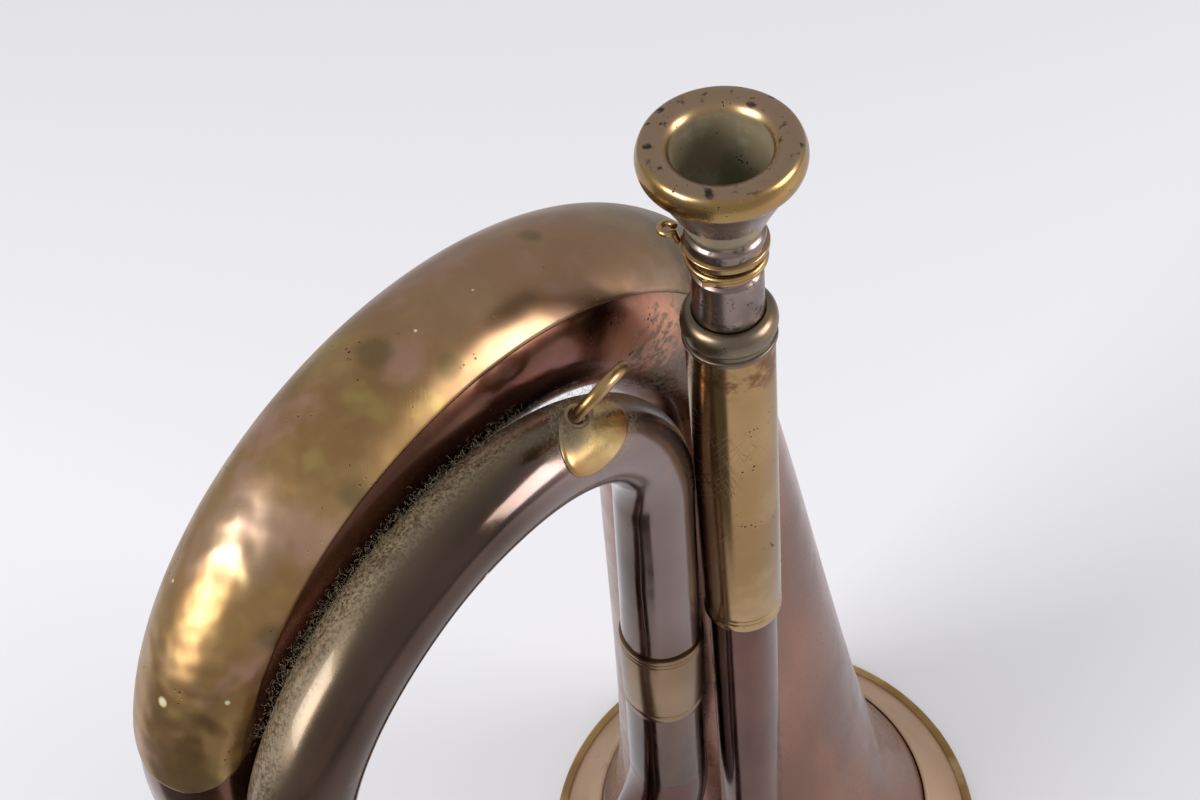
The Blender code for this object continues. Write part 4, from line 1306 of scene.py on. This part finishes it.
# %% [markdown]
# ## Strap rings
#
# Each strap ring swings in a knuckle on a small curved saddle, and the saddle is soldered to the tube.
# The upper saddle is a rounded plate that wraps down the small bow's flank.


# %% Saddles, knuckles and rings
def plate(name, place, sheet, edge, rings=26, sides=90):
    """A rounded plate with a soft edge. `place` gives the point at (u, v) inside the unit circle."""
    steps = [math.sin(t) for t in spread(0.03, math.pi / 2, rings)]
    skins, rows = [], []
    for over in (True, False):
        for reach in steps if over else steps[::-1]:
            soft = min((1 - reach) / edge, 1.0)
            lift = 0.00005 + sheet * math.sqrt(max(1 - (1 - soft) ** 2, 0.0)) if over else 0.00002
            turns = [2 * math.pi * k / sides for k in range(sides)]
            skins.append([place(reach * math.cos(a), reach * math.sin(a), lift) for a in turns])
            rows.append([(0.0, 0.0, 0.0)] * sides)
    return skin(name, skins, rows, wrap_rows=False, cap_ends=True, sharp_angle=60)


KNUCKLE_RISE = 0.0031  # from the saddle's skin to the middle of its knuckle


def saddle_place(u, v, lift):
    return on_bow(SMALL, small_radius, 60.5 + 10.5 * v + 3.5 * u, 37 + 47 * u, lift)


def ring_frame(centre, tangent, normal, radius, roll=0.0, skew=0.0, pitch=0.0, tilt=0.0):
    """The pivot of a ring, the direction of its pin, and the way that the ring stands."""
    flat_out, flat_side = section_axes(tangent, normal)
    out = flat_out * math.cos(roll) + flat_side * math.sin(roll)
    side = flat_side * math.cos(roll) - flat_out * math.sin(roll)
    flat = tangent * math.cos(skew) + side * math.sin(skew)
    pin = (flat * math.cos(pitch) + out * math.sin(pitch)).normalized()
    upright = (out - pin * pin.dot(out)).normalized()
    across = pin.cross(upright)
    across *= 1 if across.dot(side) > 0 else -1
    stand = (upright * math.cos(tilt) + across * math.sin(tilt)).normalized()
    pivot = centre + out * (radius + SHEET + KNUCKLE_RISE + 0.0011 * math.sin(pitch))
    return pivot, pin, stand


def make_knuckle(name, pivot, pin):
    place = Matrix.Translation(pivot) @ pin.to_track_quat("Z", "Y").to_matrix().to_4x4()
    outer, hole, half = 0.00222, 0.00142, 0.0011
    corners = [(outer, half, 0.0003), (outer, -half, 0.0003), (hole, -half, 0.0002), (hole, half, 0.0002)]
    return turned(name, rounded(corners, 5), 48, place, 60)


def make_ring(name, pivot, pin, stand):
    radius = 0.0054
    centre = pivot + stand * radius
    angles = [2 * math.pi * i / 90 for i in range(90)]
    points = [centre + radius * (math.sin(a) * pin - math.cos(a) * stand) for a in angles]
    return wire(name, points, 0.00105, bright_brass, closed=True, sides=28, spacing=0.0004)


keep(plate("upper_saddle", saddle_place, 0.00055, 0.10), "bugle", saddle_brass, "brass", "strap_saddle")
seat = math.radians(66)
turns = [math.radians(a) for a in (20, 14.5, 17.1, 6.5)]
tangent = tangent_at(SMALL.bow, seat)
pivot, pin, stand = ring_frame(SMALL.bow(seat), tangent, SMALL.normal, small_radius(seat), *turns)
keep(make_knuckle("upper_knuckle", pivot, pin), "bugle", dusty_brass, "brass", "strap_eye")
keep(make_ring("upper_ring", pivot, pin, stand), "ring_body", bright_brass, "brass", "strap_ring")

# %% [markdown]
# The lower saddle and ring sit under the first lower bow, close to the floor.


# %% Lower saddle, knuckle and ring
def make_lower_fittings():
    path = lower_bow(PIPE_END, Vector((left_foot.x, left_foot.y, PIPE_FOOT)), 0.050, 13)[7:10]
    seat_line = (path[0].lerp(path[1], 0.65), path[1], path[1].lerp(path[2], 0.35))
    tangent = (seat_line[2] - seat_line[0]).normalized()
    normal = (PIPE_END - left_foot).cross(UP).normalized()
    normal *= -1 if section_axes(tangent, normal)[0].z > 0 else 1
    out, side = section_axes(tangent, normal)
    radius = PIPE_R + (SMALL_END_R - PIPE_R) * 8 / 13 + 0.00025

    def place(u, v, lift):
        a = math.radians(58) * u
        bend = path[1] + tangent * 0.0085 * v + out * -0.0004 * v * v
        return bend + (radius + 0.00025 + lift) * (math.cos(a) * out + math.sin(a) * side)

    pivot, pin = ring_frame(path[1], tangent, normal, radius)[:2]
    hang = (pin * pin.z - UP).normalized()
    saddle = plate("lower_saddle_plate", place, 0.00045, 0.10)
    keep(saddle, "bugle", saddle_brass, "brass", "lower_strap_saddle")
    keep(make_knuckle("lower_knuckle", pivot, pin), "bugle", saddle_brass, "brass", "lower_strap_eye")
    ring = make_ring("lower_ring", pivot, pin, hang)
    keep(ring, "lower_ring_body", bright_brass, "brass", "lower_strap_ring")


make_lower_fittings()


# %% [markdown]
# Three short brass stays tie the tubes to each other, out of sight between them.


# %% Stays
def make_stay(name, cad, first, first_r, second, second_r, radius):
    way = (second - first).normalized()
    start, end = first + way * (first_r + 0.00005), second - way * (second_r + 0.00005)
    path = [start.lerp(end, t) for t in spread(0.0, 1.0, 6)]
    made = tube(name, path, [radius] * 6, way.orthogonal(), 40, wall=radius * 0.55)
    keep(made, "bugle", ferrule_brass, "brass", cad)


PIPE_STAY_Z, LEG_STAY_Z, COIL_STAY_Z = 0.140, 0.116, 0.150
leg_stay_end = on_line(SMALL_LEG, SMALL_LEG_LEAN, LEG_STAY_Z)
for name, cad, near_end, near_r, height in (
    ("pipe_stay", "mouthpipe_stay", on_line(PIPE, PIPE_LEAN, PIPE_STAY_Z), PIPE_R, PIPE_STAY_Z),
    ("leg_stay", "small_leg_stay", leg_stay_end, leg_radius(LEG_STAY_Z), LEG_STAY_Z),
):
    make_stay(name, cad, near_end, near_r, bell_centre(height), bell_radius(height), 0.0026)
coil_ends = SMALL.leg(COIL_STAY_Z), SMALL_END_R, LARGE.leg(COIL_STAY_Z), LARGE_LEG_R
make_stay("coils_stay", "coil_stay", *coil_ends, 0.0024)

# %% [markdown]
# ## Lint
#
# Cloth leaves lint in the crevice between the two bows, along the shoulder of the small one, and round
# the strap ring. A node tree scatters short curled fibres along a path and gives each its own size and
# turn. Fibres this thin are three-sided, because nobody can see more sides.


# %% Fibres along a path
def lint_tree():
    number, whole = "NodeSocketFloat", "NodeSocketInt"
    inputs = [("Count", whole), ("Spread", number), ("Length", number), ("Thickness", number)]
    inputs += [("Seed", whole), ("Material", "NodeSocketMaterial")]
    tree, given, result = shape_tree("lint_fibres", inputs)
    take = given.outputs
    curve = node(tree, "GeometryNodeMeshToCurve", {0: take["Geometry"]})
    stops = {"Curve": curve.outputs[0], "Count": take["Count"]}
    points = node(tree, "GeometryNodeCurveToPoints", stops, mode="COUNT")
    away = node(
        tree,
        "FunctionNodeRandomValue",
        {0: (-1.0, -1.0, -1.0), 1: (1.0, 1.0, 1.0), "Seed": take["Seed"]},
        data_type="FLOAT_VECTOR",
    ).outputs[0]
    shifted = node(tree, "ShaderNodeVectorMath", {0: away, "Scale": take["Spread"]}, operation="SCALE")
    offsets = {"Geometry": points.outputs[0], "Offset": shifted.outputs[0]}
    moved = node(tree, "GeometryNodeSetPosition", offsets)
    arc = node(
        tree,
        "GeometryNodeCurveArc",
        {"Resolution": 7, "Radius": take["Length"], "Sweep Angle": 2.0, "Start Angle": 0.0},
    )
    spin = node(
        tree,
        "FunctionNodeRandomValue",
        {0: (-3.14, -3.14, -3.14), 1: (3.14, 3.14, 3.14), "Seed": maths(tree, "ADD", take["Seed"], 1.0)},
        data_type="FLOAT_VECTOR",
    ).outputs[0]
    size = node(
        tree,
        "FunctionNodeRandomValue",
        {2: 0.35, 3: 1.3, "Seed": maths(tree, "ADD", take["Seed"], 2.0)},
        data_type="FLOAT",
    ).outputs[1]
    scattered = node(
        tree,
        "GeometryNodeInstanceOnPoints",
        {"Points": moved.outputs[0], "Instance": arc.outputs[0], "Rotation": spin, "Scale": size},
    )
    real = node(tree, "GeometryNodeRealizeInstances", {0: scattered.outputs[0]})
    section = node(tree, "GeometryNodeCurvePrimitiveCircle", {"Resolution": 3, "Radius": take["Thickness"]})
    fibres = node(
        tree,
        "GeometryNodeCurveToMesh",
        {"Curve": real.outputs[0], "Profile Curve": section.outputs[0], "Fill Caps": True},
    )
    return close_tree(tree, fibres.outputs[0], take["Material"], result)


LINT_TREE, FIBRE_R = lint_tree(), 0.000018


def make_lint(name, path, count, spread_by, length, seed):
    values = {"Count": count, "Spread": spread_by, "Length": length, "Thickness": FIBRE_R, "Seed": seed}
    values["Material"] = lint_brown
    made = grown(name, LINT_TREE, values, polyline(name + "_path", path))
    made.data.materials.clear()
    made.data.materials.append(lint_brown)
    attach(made, "bugle")
    print(f"{name}: {len(made.data.polygons)} faces of lint")


shoulder = [on_bow(SMALL, small_radius, a, -38, 0.0003) for a in spread(150.0, 66.0, 40)]
crevice = [on_bow(SMALL, small_radius, a, -62, 0.0004) for a in spread(140.0, 60.0, 40)]
make_lint("lint_on_shoulder", shoulder, 1300, 0.0016, 0.0005, 4)
make_lint("lint_in_crevice", crevice, 1600, 0.0014, 0.0005, 9)
circle = [Vector((0.0035 * math.cos(a), 0.0035 * math.sin(a), -0.0010)) for a in spread(0.0, 6.0, 30)]
near_ring = [pivot + p for p in circle]
make_lint("lint_round_ring", near_ring, 700, 0.0024, 0.0006, 14)

# %% [markdown]
# ## Floor, light and camera
#
# The bugle stands on a plain pale floor, under two large soft lights: one in front on the left and one
# on the right. The camera looks down at it from the mouthpiece's side.


# %% Floor
def flat_sheet(name, low_corner, high_corner, height, colour, roughness):
    """A flat rectangle at a height, between two corners measured from the rim."""
    mesh = bpy.data.meshes.new(name)
    (x0, y0), (x1, y1) = low_corner, high_corner
    corners = [(x0, y0, height), (x1, y0, height), (x1, y1, height), (x0, y1, height)]
    mesh.from_pydata([RIM + Vector(c) for c in corners], [], [(0, 1, 2, 3)])
    made = bpy.data.objects.new(name, mesh)
    bpy.context.scene.collection.objects.link(made)
    mesh.materials.append(Finish(name, colour, roughness, metallic=0.0).done())
    return made


# A dark sheet stands in for shade beyond the pale floor's front edge; the copper legs reflect it as a stripe.
pale_floor = flat_sheet("pale_floor", (-3.0, -3.0), (3.0, 3.0), 0.0, (0.70, 0.695, 0.715), 0.75)
dark_shade_sheet = flat_sheet("dark_shade_sheet", (-1.3, -1.6), (-0.02, -0.175), 0.001, (0.05, 0.045, 0.045), 0.6)


# %% [markdown]
# The lamps are large, so their reflections in the copper are broad and soft-edged, and the shadows on
# the floor nearly vanish. The world fills in from all round.


# %% Lights
def aim(made, place, target):
    made.location = place
    made.rotation_euler = (target - place).to_track_quat("-Z", "Y").to_euler()


def soft_light(name, direction, distance, width, height, power):
    lamp = bpy.data.lights.new(name, "AREA")
    lamp.shape, lamp.size, lamp.size_y, lamp.energy = "RECTANGLE", width, height, power
    made = bpy.data.objects.new(name, lamp)
    bpy.context.scene.collection.objects.link(made)
    middle = RIM + UP * 0.14
    aim(made, middle + Vector(direction).normalized() * distance, middle)
    return made


soft_light("left_front_light", (-0.60, -0.55, 0.50), 1.0, 0.50, 0.42, 9.0)
soft_light("right_light", (0.95, 0.02, 0.38), 1.0, 0.45, 0.50, 7.0)
world = bpy.data.worlds.new("pale_room")
world.use_nodes = True
world.node_tree.nodes["Background"].inputs["Color"].default_value = (0.585, 0.585, 0.605, 1.0)
world.node_tree.nodes["Background"].inputs["Strength"].default_value = 1.04
bpy.context.scene.world = world
bpy.context.scene.view_settings.view_transform = "Standard"


# %% [markdown]
# The camera stands above the bell side and looks down steeply, a little rolled, through a long lens.
# A long lens keeps the coils from looking stretched.


# %% Camera
def set_camera():
    yaw, pitch, roll = math.radians(-16.67), math.radians(50.70), math.radians(7.89)
    ahead = Vector((math.sin(yaw) * math.cos(pitch), math.cos(yaw) * math.cos(pitch), -math.sin(pitch)))
    level = Vector((math.cos(yaw), -math.sin(yaw), 0.0))
    above = level.cross(ahead)
    right = math.cos(roll) * level - math.sin(roll) * above
    up = math.sin(roll) * level + math.cos(roll) * above
    lens = bpy.data.cameras.new("camera")
    lens.sensor_width, lens.lens = 36.0, 65.79
    lens.clip_start = 0.01
    made = bpy.data.objects.new("camera", lens)
    made.matrix_world = Matrix.Translation(RIM + Vector((0.0521, -0.2680, 0.5161))) @ (
        Matrix((right, up, -ahead)).transposed().to_4x4()
    )
    bpy.context.scene.collection.objects.link(made)
    bpy.context.scene.camera = made
    print("camera at", tuple(round(c, 4) for c in made.matrix_world.translation))


set_camera()
